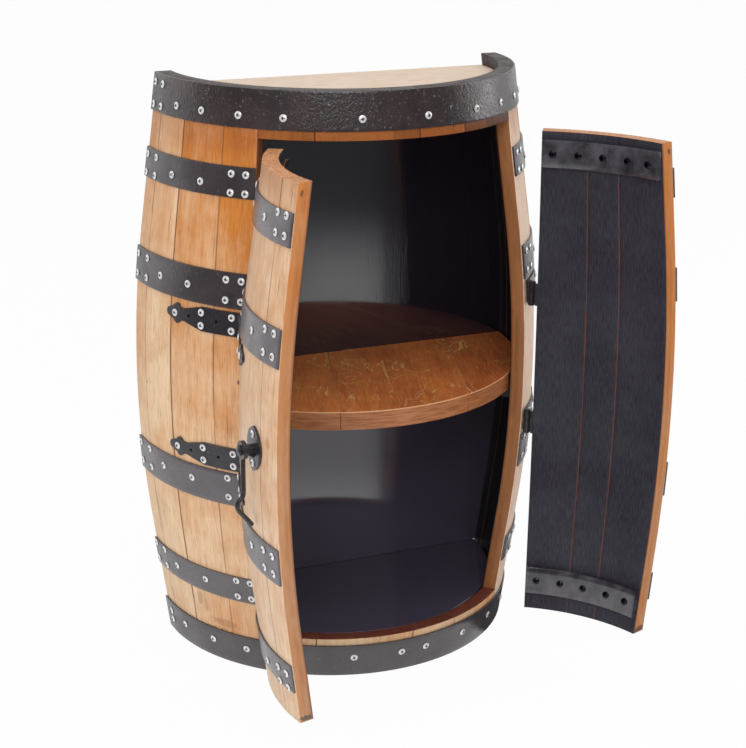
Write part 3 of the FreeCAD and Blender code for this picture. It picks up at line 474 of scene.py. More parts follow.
def make_wear():
    """Marks of age in oak: fine upright checks, a few small knots, and cloudy stains."""
    tree, net, given, result = new_effect("oak_age", [("Place", VECTOR, None), ("Seed", FLOAT, 0.0)],
                                          [("Checks", FLOAT), ("Knots", FLOAT), ("Stains", FLOAT)])
    link = tree.links.new
    shift = net.joined(net.times(given["Seed"], 1.9), 0.0, net.times(given["Seed"], 4.3))
    place = net.moved(given["Place"], shift)
    cracks = net.noise(net.scaled(place, (230, 0, 7)), detail=2, distortion=0.4)
    where = net.noise(net.scaled(place, (16, 0, 9)), detail=1)
    link(net.times(net.between(cracks, 0.66, 0.72), net.between(where, 0.52, 0.64)), result["Checks"])
    flat = net.scaled(place, (9, 0, 6))
    knot = net.cells(net.moved(flat, net.joined(net.noise(net.scaled(place, (60, 0, 60))), 0.0, 0.0)))
    rare = net.between(net.noise(net.scaled(place, (4, 0, 3)), detail=0), 0.52, 0.6)
    link(net.times(net.between(knot, 0.06, 0.02), rare), result["Knots"])
    cloud = net.noise(net.scaled(place, (22, 0, 11)), detail=5, roughness=0.65, distortion=0.6)
    link(net.between(cloud, 0.5, 0.78), result["Stains"])
    return tree


def make_mark():
    """One round or long mark about a place, with a ragged edge."""
    tree, net, given, result = new_effect("single_mark", [("Place", VECTOR, None), ("Centre", VECTOR, None),
                                                          ("Radii", VECTOR, (1, 1, 1))], [("Mask", FLOAT)])
    away = net.add("VectorMath", {0: given["Place"], 1: given["Centre"]}, operation="SUBTRACT").outputs[0]
    shares = net.add("VectorMath", {0: away, 1: given["Radii"]}, operation="DIVIDE").outputs[0]
    reach = net.add("VectorMath", {0: shares}, operation="LENGTH").outputs["Value"]
    ragged = net.times(net.minus(net.noise(net.scaled(given["Place"], (260, 260, 160)), detail=2), 0.5), 1.2)
    tree.links.new(net.between(net.plus(reach, ragged), 1.05, 0.6), result["Mask"])
    return tree


GRAIN = make_grain()
MARK = make_mark()
WEAR = make_wear()
MOTTLE = make_mottle()
PEBBLE = make_pebble()

# ---- Finishes ----


# Where a stave's looks change, in metres: from its outer face to its sawn sides, from those to its charred
# inside, and from its body to the stained chime on top.
FACE_DEPTH = (0.0006, 0.0016)
CHARRED_DEPTH = (0.0204, 0.0213)
CHIME_LEVEL = (0.861, 0.864)


def stave_finish(name, light, deep, side, side_deep, inside, end, inside_roughness, level_tint, marks):
    """Oak stave: oiled face, sawn sides, dark inside, end grain; level_tint shifts the tone with height.

    A board's tone over 1 darkens its face with painted shade, and one under 0 pales it with a painted
    reflection. marks gives each single mark's angle, its depth and level in millimetres, its radii, its
    colour and how strong it is.
    """
    finish, net = new_finish(name)
    place = net.attribute("place")
    _, depth, level = net.parts(place)
    margin, plank, seed = net.parts(net.attribute("board"))
    joint = net.attribute("joint", "Fac")
    grain = net.group(GRAIN, Place=place, Seed=seed)
    age = net.group(WEAR, Place=place, Seed=seed)
    blotch = net.group(MOTTLE, Place=place, Size=0.11)
    rise = net.times(net.between(level, 0.25, 0.8), net.plus(0.45, net.times(plank, 0.65)))
    warmth = net.plus(net.times(rise, level_tint), net.times(plank, 0.4))
    warmth = net.plus(warmth, net.times(net.minus(grain["Streak"], 0.5), 0.24))
    warmth = net.plus(warmth, net.times(net.minus(blotch["Patches"], 0.5), 0.55))
    face = net.mix(net.share(warmth), light, deep)
    # Painted reflection: a board with a tone under 0 is paled towards near white.
    face = net.mix(net.times(net.between(plank, -0.05, -0.25), 0.5), face, tone(250, 232, 222))
    face = net.darker(face, net.times(grain["Bands"], 0.1), tone(206, 164, 118))
    face = net.darker(face, net.times(grain["Fibre"], 0.17), tone(208, 180, 142))
    face = net.darker(face, net.times(grain["Pores"], 0.35), tone(160, 118, 82))
    face = net.darker(face, net.times(age["Stains"], 0.34), tone(186, 148, 108))
    # Painted shade: the faces darken from 0.76 m up towards the top hoop.
    face = net.darker(face, net.times(net.between(level, 0.76, 0.82), 0.7), tone(214, 190, 172))
    # Painted shade: a board with a tone over 1, the strip over the opening, is darkened.
    face = net.darker(face, net.between(plank, 1.0, 1.5), tone(136, 124, 120))
    face = net.darker(face, net.times(age["Checks"], 0.75), tone(128, 88, 62))
    face = net.darker(face, net.times(age["Knots"], 0.5), tone(96, 62, 46))
    seam = net.times(net.between(margin, 0.0022, 0.0003), joint)
    seam = net.times(seam, net.plus(0.5, net.times(grain["Streak"], 0.5)))
    face = net.darker(face, seam, tone(112, 76, 56))
    cut = net.plus(net.times(plank, 0.4), net.plus(net.times(grain["Streak"], 0.4), net.times(rise, 0.8)))
    cut = net.mix(net.maths("MINIMUM", cut, 1.0), side, side_deep)
    cut = net.darker(cut, net.times(grain["Fibre"], 0.25), tone(196, 160, 124))
    heart = net.times(net.between(net.size(net.minus(depth, 0.0125)), 0.006, 0.001), grain["Streak"])
    cut = net.darker(cut, net.times(heart, 0.3), tone(170, 124, 92))
    cut = net.darker(cut, net.times(net.between(depth, 0.0165, CHARRED_DEPTH[0]), 0.5), tone(150, 110, 84))
    wood = net.mix(net.between(depth, *FACE_DEPTH), face, cut)
    black = net.between(depth, *CHARRED_DEPTH)
    ticks = net.noise(net.scaled(place, (620, 0, 70)), detail=3, roughness=0.6)
    ticks = net.plus(net.times(net.between(ticks, 0.35, 0.65), 0.6), net.times(blotch["Patches"], 0.4))
    soot = net.mix(ticks, inside, net.darker(inside, 1.0, tone(150, 146, 156)))
    scraped = net.times(net.between(margin, 0.001, 0.0006), net.between(joint, 0.1, 0.2))
    scraped = net.times(scraped, net.between(level, 0.8, 0.797))
    scraped = net.times(scraped, net.plus(0.35, net.times(grain["Streak"], 0.3)))
    soot = net.mix(scraped, soot, tone(150, 92, 54))
    wood = net.mix(black, wood, soot)
    upright = net.size(net.parts(net.add("NewGeometry").outputs["True Normal"])[2])
    ends = net.times(net.between(upright, 0.6, 0.8), net.between(level, 0.87, 0.86))
    rings = net.noise(net.scaled(place, (260, 900, 40)), detail=3)
    wood = net.mix(ends, wood, net.darker(end, net.between(rings, 0.35, 0.7), tone(196, 160, 136)))
    rim = net.between(level, *CHIME_LEVEL)
    chime = net.mix(net.between(rings, 0.45, 0.75), tone(44, 34, 34), tone(82, 56, 46))
    wood = net.mix(rim, wood, chime)
    for (angle, inward, up), radii, colour, strength in marks:
        centre = (math.radians(angle) * PLACE_RADIUS, inward / 1000, up / 1000)
        mark = net.group(MARK, Place=place, Centre=centre, Radii=tuple(radius / 1000 for radius in radii))
        wood = net.mix(net.times(mark["Mask"], strength), wood, colour)
    rough = net.plus(0.42, net.times(grain["Fibre"], 0.16))
    rough = net.add("Mix", {0: black, 2: rough, 3: inside_roughness}).outputs[0]
    height = net.plus(net.times(grain["Fibre"], 0.5), net.times(grain["Bands"], 0.15))
    height = net.minus(height, net.times(net.plus(grain["Pores"], net.times(age["Checks"], 2.0)), 0.6))
    net.surface(wood, rough, height, 0.00035, 0.7, Specular_IOR_Level=0.42)
    return finish


def boards_finish(name, light, deep, figure, roughness):
    """Planed boards seen flat on."""
    finish, net = new_finish(name)
    place = net.attribute("place")
    _, plank, seed = net.parts(net.attribute("board"))
    grain = net.group(GRAIN, Place=place, Seed=seed)
    blotch = net.group(MOTTLE, Place=place, Size=0.07)
    warmth = net.plus(net.times(plank, 0.7), net.times(net.minus(grain["Streak"], 0.5), 0.6))
    warmth = net.plus(warmth, net.times(net.minus(blotch["Patches"], 0.5), 0.4))
    wood = net.mix(net.share(warmth), light, deep)
    wood = net.darker(wood, net.times(grain["Fibre"], 0.5), figure)
    wood = net.darker(wood, net.times(grain["Pores"], 0.5), figure)
    rough = net.plus(roughness, net.times(grain["Fibre"], 0.14))
    height = net.minus(net.times(grain["Fibre"], 0.5), net.times(grain["Pores"], 0.5))
    net.surface(wood, rough, height, 0.0003, 0.6)
    return finish


def shelf_finish():
    """Varnished shelf boards: figured top with ray flecks, fine end grain round the sawn front."""
    finish, net = new_finish("varnished_shelf_oak")
    place = net.attribute("place")
    level = net.parts(place)[1]
    _, plank, seed = net.parts(net.attribute("board"))
    grain = net.group(GRAIN, Place=place, Seed=seed)
    blotch = net.group(MOTTLE, Place=place, Size=0.08)
    warmth = net.plus(plank, net.times(net.minus(grain["Streak"], 0.5), 0.45))
    warmth = net.plus(warmth, net.times(net.minus(blotch["Patches"], 0.5), 0.6))
    wood = net.mix(net.share(warmth), tone(242, 146, 76), tone(192, 104, 56))
    wood = net.darker(wood, net.times(grain["Fibre"], 0.45), tone(190, 146, 112))
    wood = net.mix(net.times(grain["Pores"], 0.4), wood, tone(236, 186, 124))
    shifted = net.moved(place, net.joined(seed, seed, seed))
    rays = net.noise(net.scaled(shifted, (24, 12, 13)), detail=2, distortion=1.2)
    thin = net.between(net.size(net.minus(rays, 0.5)), 0.015, 0.004)
    few = net.noise(net.moved(place, net.joined(seed, 3.0, seed)), scale=15)
    few = net.between(few, 0.48, 0.54)
    wood = net.mix(net.times(net.times(thin, few), 0.68), wood, tone(255, 208, 138))
    facing = net.size(net.parts(net.add("NewGeometry").outputs["True Normal"])[2])
    sawn = net.between(facing, 0.5, 0.2)
    layers = net.noise(net.scaled(place, (34, 420, 34)), detail=4)
    front = net.mix(net.between(layers, 0.35, 0.65), tone(158, 92, 50), tone(190, 124, 80))
    wood = net.mix(sawn, wood, front)
    # Painted highlight: the rounded front arris of the top is painted pale.
    wear_and_highlight = net.times(net.between(facing, 0.97, 0.75), net.between(level, 0.4235, 0.4255))
    wood = net.mix(net.times(wear_and_highlight, 0.8), wood, tone(240, 186, 136))
    net.surface(wood, net.plus(0.3, net.times(grain["Fibre"], 0.14)), grain["Fibre"], 0.0003, 0.5,
                Coat_Weight=0.2, Coat_Roughness=0.25)
    return finish


def paint_finish(name, colour, roughness, wear_and_highlight, grain_bump=0.4, coat=0.0, gloss=0.5, painted_light_below=0.0,
                 patch=0.12, mapped=True):
    """Black satin paint over wood: faint grain, patchy sheen, specks of dust.

    Given a level for it, the inside under that level is painted paler, painted light for the lower
    compartment, and the back stays dull.
    """
    finish, net = new_finish(name)
    place = net.layout(mapped)
    blotch = net.group(MOTTLE, Place=place, Size=patch)
    grain = net.group(GRAIN, Place=place, Seed=0.7)
    paint = net.mix(net.times(blotch["Patches"], 0.5), colour, wear_and_highlight)
    paint = net.mix(net.times(blotch["Specks"], 0.12), paint, wear_and_highlight)
    rough = net.plus(roughness, net.times(net.minus(blotch["Patches"], 0.5), 0.08))
    if painted_light_below:
        _, depth, level = net.parts(place)
        inside = net.between(depth, 0.002, 0.005)
        low = net.times(inside, net.between(level, painted_light_below, painted_light_below - 0.03))
        # Painted light: the inside under that level is painted paler.
        paint = net.mix(net.times(low, 0.8), paint, tone(80, 75, 92))
        coat = net.times(inside, coat)
        rough = net.plus(rough, net.times(net.minus(1.0, inside), 0.4))
    net.surface(paint, rough, grain["Fibre"], 0.0002, grain_bump, Coat_Weight=coat, Coat_Roughness=0.05,
                Specular_IOR_Level=gloss)
    return finish


def steel_finish(name, colour, deep, roughness, pebble_size, pebble_depth, glint, gloss, floor_reflection=0.0,
                 mapped=True):
    """Lacquered mild steel: mottled dark coat, painted floor reflection low down, pebbled surface, painted
    glints on crests.
    """
    finish, net = new_finish(name)
    place = net.layout(mapped)
    blotch = net.group(MOTTLE, Place=place, Size=0.045)
    pebble = net.group(PEBBLE, Place=place, Size=pebble_size)
    coat = net.mix(blotch["Patches"], colour, deep)
    level = net.parts(place)[2]
    # Painted reflection: the lower hoops are painted paler to stand in for the floor's reflection.
    floor_reflection_mask = net.times(net.between(level, 0.55, 0.32), net.between(level, 0.05, 0.11))
    coat = net.mix(net.times(floor_reflection_mask, floor_reflection), coat, tone(104, 100, 106))
    coat = net.mix(net.times(blotch["Specks"], 0.25), coat, deep)
    # Painted glints: the pebbles' crests are painted pale.
    bright = net.times(net.times(pebble["Crests"], blotch["Patches"]), glint)
    coat = net.mix(bright, coat, tone(176, 166, 164))
    rough = net.plus(roughness, net.times(net.minus(blotch["Patches"], 0.5), 0.14))
    net.surface(coat, rough, pebble["Height"], pebble_depth, 1.0, Specular_IOR_Level=gloss)
    return finish


def screw_finish(name, colour, painted_recess_shade, roughness, metal):
    """Plated screw: fine tarnish, painted shade in and round the cross recess and under the head's edge."""
    finish, net = new_finish(name)
    spot = net.attribute("spot")
    across, along, height = net.parts(spot)
    blotch = net.group(MOTTLE, Place=net.add("TexCoord").outputs["Object"], Size=0.006)
    reach = net.maths("SQRT", net.plus(net.times(across, across), net.times(along, along)))
    arm = net.maths("MINIMUM", net.size(across), net.size(along))
    cross = net.times(net.between(arm, 0.001, 0.0006), net.between(reach, 0.0028, 0.0023))
    pit = net.most(cross, net.between(reach, 0.0019, 0.001))
    edge = net.between(height, 0.0009, 0.0003)
    plated = net.mix(net.times(blotch["Patches"], 0.35), colour, net.darker(colour, 1.0, tone(176, 170, 166)))
    # Painted shade: the recess, the head's centre and its lower edge take the shade colour.
    plated = net.mix(net.most(net.times(pit, 0.95), net.times(edge, 0.7)), plated, painted_recess_shade)
    rough = net.plus(roughness, net.times(pit, 0.3))
    net.surface(plated, rough, blotch["Specks"], 0.0001, 0.3, Metallic=metal)
    return finish


# Single marks: knots and stains, the shade along the left jamb, and painted shade in the hinge leaves' empty
# screw holes.
BARREL_MARKS = [
    ((-46.2, 0, 470), (4, 8, 4), tone(96, 62, 44), 0.9),
    ((-66.2, 0, 96), (7, 8, 13), tone(150, 124, 104), 0.5),
    ((-63.6, 0, 88), (4, 8, 15), tone(146, 122, 108), 0.4),
    ((-56.8, 0, 66), (30, 8, 8), tone(160, 106, 66), 0.5),
]
JAMB_SHADE = ((-43, 11, 438), (2, 11, 400), tone(74, 46, 32), 0.85)
HOLE_LEVELS = (351, 554)
# Painted shade: dark spots in the wood under the hinge leaves' empty screw holes.
HOLE_SHADE_MARKS = [((angle, 0, level), (3.2, 8, 3.2), tone(24, 16, 14), 1.0)
               for angle in (-62, -52.8, 54.8, 64) for level in HOLE_LEVELS]
DOOR_HOLE_SHADE_MARKS = [((angle, 0, level), (3.2, 8, 3.2), tone(24, 16, 14), 1.0)
                    for angle in (-35.9, -26.7, 28.7, 37.9) for level in HOLE_LEVELS]
DOOR_MARKS = [
    ((-0.3, 0, 471), (7, 8, 9), tone(190, 134, 80), 0.6),
    ((3.9, 7, 797), (8, 3, 5), tone(104, 66, 44), 0.9),
    ((4.2, 11, 71), (8, 12, 5), tone(84, 78, 72), 0.8),
]
BARREL_OAK = stave_finish("oiled_barrel_oak", light=tone(236, 204, 167), deep=tone(203, 127, 50),
                          side=tone(164, 110, 66), side_deep=tone(136, 82, 46), inside=tone(26, 24, 30),
                          end=tone(128, 72, 56), inside_roughness=0.55, level_tint=0.75,
                          marks=BARREL_MARKS + [JAMB_SHADE] + HOLE_SHADE_MARKS)
DOOR_OAK = stave_finish("pale_door_oak", light=tone(234, 205, 175), deep=tone(205, 140, 78),
                        side=tone(196, 153, 118), side_deep=tone(206, 129, 62), inside=tone(60, 57, 68),
                        end=tone(222, 162, 112), inside_roughness=0.62, level_tint=0.62,
                        marks=DOOR_MARKS + DOOR_HOLE_SHADE_MARKS)
HEAD_OAK = boards_finish("pale_head_oak", light=tone(244, 224, 204), deep=tone(232, 208, 182),
                         figure=tone(224, 208, 192), roughness=0.5)
SHELF_OAK = shelf_finish()
BLACK_PAINT = paint_finish("black_satin_paint", tone(30, 26, 37), 0.08, tone(36, 32, 43), grain_bump=0.12,
                           coat=1.0, gloss=1.0, painted_light_below=0.42)
BLACK_CLEATS = paint_finish("black_satin_cleats", tone(22, 20, 27), 0.36, tone(30, 28, 35), mapped=False)
CHARRED_OAK = paint_finish("stained_batten_black", tone(36, 34, 40), 0.22, tone(104, 100, 110), coat=1.0,
                           patch=0.028)
HOOP_STEEL = steel_finish("lacquered_hoop_steel", tone(62, 53, 56), tone(44, 37, 39), 0.3, 0.004,
                          0.0003, 0.3, gloss=1.0, floor_reflection=0.45)
# Painted reflection: the door hoops take a paler copy of the hoop steel.
DOOR_HOOP_STEEL_PAINTED_REFLECTION = steel_finish("door_hoop_steel_painted_reflection", tone(92, 84, 90), tone(66, 60, 65), 0.3, 0.004,
                               0.0003, 0.3, gloss=1.0, floor_reflection=0.2)
HAMMERED_STEEL = steel_finish("hammered_hoop_steel", tone(60, 47, 49), tone(38, 29, 31), 0.3, 0.0034,
                              0.0006, 0.7, gloss=0.9)
IRON = steel_finish("black_iron", tone(44, 41, 46), tone(32, 29, 34), 0.3, 0.003, 0.0002, 0.2, gloss=0.8,
                    mapped=False)
BRIGHT_SCREW = screw_finish("zinc_screw", tone(250, 250, 251), tone(44, 42, 44), 0.34, 0.45)
BLACK_SCREW = screw_finish("black_oxide_screw", tone(60, 58, 64), tone(20, 19, 22), 0.3, 1.0)


# ---- Pieces ----

# How warm each board's wood is: from back to front on the left side, from front to back on the right side,
# and from left to right on the shelf, the doors and over and under the opening.
# The first right stave's tone under 0 is a painted reflection that pales its face.
STAVE_TONES = {"left": [0.2, 0.0, 0.55, 0.85], "right": [-0.25, 0.0, 0.7, 0.5]}
# The top ends' tones over 1 paint the shade under the top hoop.
TOP_END_SHADE_TONES = [1.2, 1.15, 1.25, 1.2, 1.35, 1.5]
BOTTOM_END_TONES = [0.8, 0.6, 0.9, 0.5, 0.7, 0.85]
SHELF_TONES = [0.15, 0.45, 0.7]
DOOR_TONES = {"left": [0.5, 0.15, 0.3], "right": [0.8, 0.6, 0.8]}

# How each joint looks, in the order of the joints.
SIDE_JOINTS = {"left": [SAWN, TIGHT, SPLIT, TIGHT, SAWN], "right": [SAWN, GLUED, GLUED, TIGHT, SAWN]}
END_JOINTS = [TIGHT, GLUED, CLOSED, GLUED, GLUED, CLOSED, TIGHT]
DOOR_JOINT_KINDS = [SAWN, TIGHT, TIGHT, SAWN]


def wavy(amount, seed):
    """Slight unevenness of a planed face, only ever inwards."""
    return lambda angle, level: amount * (0.5 + 0.5 * noise.noise(Vector((angle / 7, level / 90, seed))))


def make_staves():
    for side, joints in STAVE_JOINTS.items():
        for number, angles in enumerate(zip(joints, joints[1:])):
            part = Part()
            seed = number * 1.37 + (0 if side == "left" else 7.1)
            curved_bar(part, angles, (0, STAVE_HEIGHT), STAVE_THICKNESS,
                       edges=SIDE_JOINTS[side][number:number + 2], tone=STAVE_TONES[side][number],
                       seed=seed, dent=wavy(0.25, seed), waver=0.35)
            node = f"{side}_stave_{number + 1}"
            add_piece(f"{node}_oak", part, BARREL_OAK, "carcass", node)
    for node, levels, tones in (("bottom_stave_ends", (0, OPENING_LOW), BOTTOM_END_TONES),
                                ("top_stave_ends", (OPENING_HIGH, STAVE_HEIGHT), TOP_END_SHADE_TONES)):
        part = Part()
        for number, angles in enumerate(zip(OPENING_JOINTS, OPENING_JOINTS[1:])):
            seed = number * 0.91 + levels[0] / 100 + 3
            curved_bar(part, angles, levels, STAVE_THICKNESS, edges=END_JOINTS[number:number + 2],
                       tone=tones[number], seed=seed, dent=wavy(0.25, seed), waver=0.35)
        add_piece(f"{node}_oak", part, BARREL_OAK, "carcass", node)


def make_door_staves():
    for side, joints in DOOR_JOINTS.items():
        for number, angles in enumerate(zip(joints, joints[1:])):
            part = Part()
            seed = number * 1.13 + (11 if side == "left" else 17)
            curved_bar(part, angles, (DOOR_LOW, DOOR_HIGH), STAVE_THICKNESS,
                       edges=DOOR_JOINT_KINDS[number:number + 2], tone=DOOR_TONES[side][number], seed=seed,
                       dent=wavy(0.25, seed), waver=0.3, door=side, arris=0.9)
            node = f"{side}_door_stave_{number + 1}"
            add_piece(f"{node}_oak", part, DOOR_OAK, f"{side}_door", node)


def hammered(angle, level):
    """Depth of the hammer's marks on the top hoop."""
    spot = Vector((angle * 4.9, level, 0))      # millimetres along the hoop and up it
    return 0.22 + 0.22 * noise.noise(spot / 5.5) + 0.12 * noise.noise(spot / 2.4)


def make_hoops():
    for node, levels in HEAD_HOOPS.items():
        top = node.startswith("top")
        part = Part()
        curved_bar(part, (-90, 90), levels, HOOP_THICKNESS, edges=(ROLLED, ROLLED), outer=hoop_radius(levels),
                   arc_step=0.55 if top else 1.5, level_step=2.6 if top else 10, arris=0.5,
                   dent=hammered if top else wavy(0.2, 5.0))
        add_piece(f"{node}_band", part, HAMMERED_STEEL if top else HOOP_STEEL, "carcass", node)
    for side, joints in STAVE_JOINTS.items():
        doors = DOOR_JOINTS[side]
        for hoop, levels in HOOP_LEVELS.items():
            for ends, body, prefix, door in ((joints, "carcass", side, None),
                                             (doors, f"{side}_door", f"{side}_door", side)):
                part = Part()
                curved_bar(part, (ends[0], ends[-1]), levels, HOOP_THICKNESS, edges=(ROLLED, ROLLED),
                           outer=hoop_radius(levels), arc_step=1.2, level_step=6, arris=0.4, door=door,
                           dent=wavy(0.2, levels[0] / 50))
                node = f"{prefix}_{hoop}_hoop"
                # The door hoops' paler steel is a painted reflection.
                finish = DOOR_HOOP_STEEL_PAINTED_REFLECTION if door else HOOP_STEEL
                add_piece(f"{node}_band", part, finish, body, node)


def half_disc(radius, back):
    """Outline of a half disc in front of a line, anticlockwise seen from above."""
    reach = math.acos(back / radius)
    angles = np.linspace(-reach, reach, HALF_DISC_POINTS)
    return [(radius * math.sin(angle), -radius * math.cos(angle)) for angle in angles]


def make_heads():
    for node, (low, high), finish, slot in (("top_head", TOP_HEAD, HEAD_OAK, "pale_oak"),
                                            ("bottom_head", BOTTOM_HEAD, BLACK_PAINT, "black_inside")):
        part = Part()
        radius = min(barrel_radius(low), barrel_radius(high)) - STAVE_THICKNESS - JOINT_GAP
        outline = half_disc(radius, 0)
        slab(part, outline, low, high, along=(1, 0), seed=2.0, tone=0.4)
        add_piece(f"{node}_board", part, finish, "carcass", node, soften=0.8)


def make_back_panel():
    part = Part()
    low, high = BOTTOM_HEAD[1] + JOINT_GAP, TOP_HEAD[0] - JOINT_GAP
    levels = stepped(low, high, 20)
    half = [math.sqrt((barrel_radius(level) - STAVE_THICKNESS) ** 2 - PANEL_THICKNESS ** 2) - JOINT_GAP
            for level in levels]
    right_edge = list(zip(half, levels))
    outline = right_edge + [(-width, level) for width, level in reversed(right_edge)]
    slab(part, outline, 0, PANEL_THICKNESS, along=(0, 1), seed=1.0, upright=True)
    add_piece("back_panel_board", part, BLACK_PAINT, "carcass", "back_panel", soften=0.5)


def make_shelf():
    part = Part()
    skew = math.radians(SHELF_SKEW)
    normal, along = (math.cos(skew), math.sin(skew)), (-math.sin(skew), math.cos(skew))
    outline = half_disc(SHELF_RADIUS, PANEL_THICKNESS + JOINT_GAP)
    for number, (first, last) in enumerate(zip(SHELF_JOINTS, SHELF_JOINTS[1:])):
        board = clipped(outline, normal, last - SHELF_SEAM)
        board = clipped(board, (-normal[0], -normal[1]), -first - SHELF_SEAM)
        slab(part, board, *SHELF, along=along, seed=number * 2.3 + 1, tone=SHELF_TONES[number])
    add_piece("shelf_boards_oak", part, SHELF_OAK, "carcass", "shelf_boards", soften=1.0)


def make_battens():
    for side, joints in DOOR_JOINTS.items():
        part = Part()
        first, last = BATTEN_END_ANGLES[side]
        for number, levels in enumerate(BATTENS):
            curved_bar(part, (joints[0] + first, joints[-1] - last), levels, BATTEN_THICKNESS,
                       outer=lambda level: barrel_radius(level) - STAVE_THICKNESS - JOINT_GAP,
                       edges=(SAWN, SAWN), door=side, seed=number + 4.4, arris=1.2, level_step=8)
        node = f"{side}_door_battens"
        add_piece(f"{node}_oak", part, CHARRED_OAK, f"{side}_door", node)


def loose_solids(corners, faces):
    """Numbers of the vertices of each separate solid; vertices at one place count as one."""
    _, spots = np.unique(np.round(corners * 1e6).astype(np.int64), axis=0, return_inverse=True)
    spots = spots.ravel()
    labels = np.arange(spots.max() + 1)
    links = np.array([(spots[face[here - 1]], spots[face[here]])
                      for face in faces for here in range(len(face))])
    while True:
        least = np.minimum(labels[links[:, 0]], labels[links[:, 1]])
        before = labels.copy()
        np.minimum.at(labels, links[:, 0], least)
        np.minimum.at(labels, links[:, 1], least)
        labels = labels[labels]
        if np.array_equal(labels, before):
            break
    owner = labels[spots]
    return [np.flatnonzero(owner == label) for label in np.unique(owner)]


def seen_from_screw(corners):
    """A screw's corners in its own frame: across and along its cross, and up from under its head."""
    middle = corners.mean(axis=0)
    spread, ways = np.linalg.eigh(np.cov((corners - middle).T))
    axis = ways[:, 0] if spread[1] - spread[0] > spread[2] - spread[1] else ways[:, 2]
    tip = corners[np.argmax(np.linalg.norm(corners - middle, axis=1))]
    axis = axis * np.sign((middle - tip) @ axis)
    side = np.cross(axis, (0, 0, 1))
    side /= np.linalg.norm(side)
    ahead = np.cross(axis, side)
    local = np.stack([(corners - tip) @ way for way in (side, ahead, axis)], axis=1)
    local[:, 2] -= SCREW_LENGTH / 1000
    floor, reach = SCREW_RECESS
    flat = local[:, 0] + 1j * local[:, 1]
    on_floor = abs(local[:, 2] * 1000 - floor) < 0.15
    arms = flat[on_floor & (abs(flat) * 1000 > reach)]
    turn = np.angle(np.sum((arms / abs(arms)) ** 4)) / 4 if len(arms) else 0
    flat = flat * np.exp(-1j * turn)
    return np.stack([flat.real, flat.imag, local[:, 2]], axis=1)


def make_screws():
    """Each group of screws again, with every screw's own frame on its vertices."""
    for name, node in frame["nodes"].items():
        if not name.endswith("_screws"):
            continue
        black = name.endswith("batten_screws")
        mesh = node.data.copy()
        corners = np.zeros(len(mesh.vertices) * 3)
        mesh.vertices.foreach_get("co", corners)
        corners = corners.reshape(-1, 3)
        frames = np.zeros_like(corners)
        for solid in loose_solids(corners, [tuple(face.vertices) for face in mesh.polygons]):
            frames[solid] = seen_from_screw(corners[solid])
        mesh.attributes.new("spot", "FLOAT_VECTOR", "POINT").data.foreach_set("vector", frames.ravel())
        mesh.materials.clear()
        mesh.materials.append(BLACK_SCREW if black else BRIGHT_SCREW)
        piece = placed(f"{name}_plated", mesh)
        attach(piece, node["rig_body"])
        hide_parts(name)


def dress_ironwork():
    """Finishes for the CAD nodes that keep their shape."""
    for name, node in frame["nodes"].items():
        if name.endswith("_leaf") or name in ("hinge_pins", "latch_plate", "latch_hook", "keeper"):
            finish = IRON
        elif name == "shelf_cleats":
            finish = BLACK_CLEATS
        else:
            continue
        node.data.materials.clear()
        node.data.materials.append(finish)


make_staves()
make_door_staves()
make_hoops()
make_heads()
make_back_panel()
make_shelf()
make_battens()
make_screws()
dress_ironwork()

# ---- Floor, light and camera ----


DIM = 0.12                     # how bright the studio's unlit part shows in gloss
AMBIENT = 0.5                  # how bright the surroundings are as light
FLOOR_REACH = 40               # metres
# Right edge of the pale strip in front of the cabinet: its place at the back plane, and its slant.
STRIP_EDGE, STRIP_SLANT = 0.0796, 0.4359
CAMERA_PLACE = (-0.9806, -2.4464, 1.2688)
CAMERA_YAW, CAMERA_PITCH, CAMERA_ROLL = 23.27, -18.51, -0.43
CAMERA_LENS, CAMERA_SENSOR = 84.29, 36


def seen_directly(net):
    """Whether a ray sees the studio itself rather than being lit by it, and whether it is a glossy one."""
    rays = net.add("LightPath").outputs
    glossy = rays["Is Glossy Ray"]
    return net.most(net.most(rays["Is Camera Ray"], glossy), rays["Is Transmission Ray"]), glossy


def studio_glow(net, x, y):
    """Direction round the cabinet, and how white the studio is there: behind the cabinet it is lit."""
    turn = net.maths("ARCTAN2", x, net.times(y, -1.0))
    return turn, net.between(net.size(turn), 1.7, 2.2)


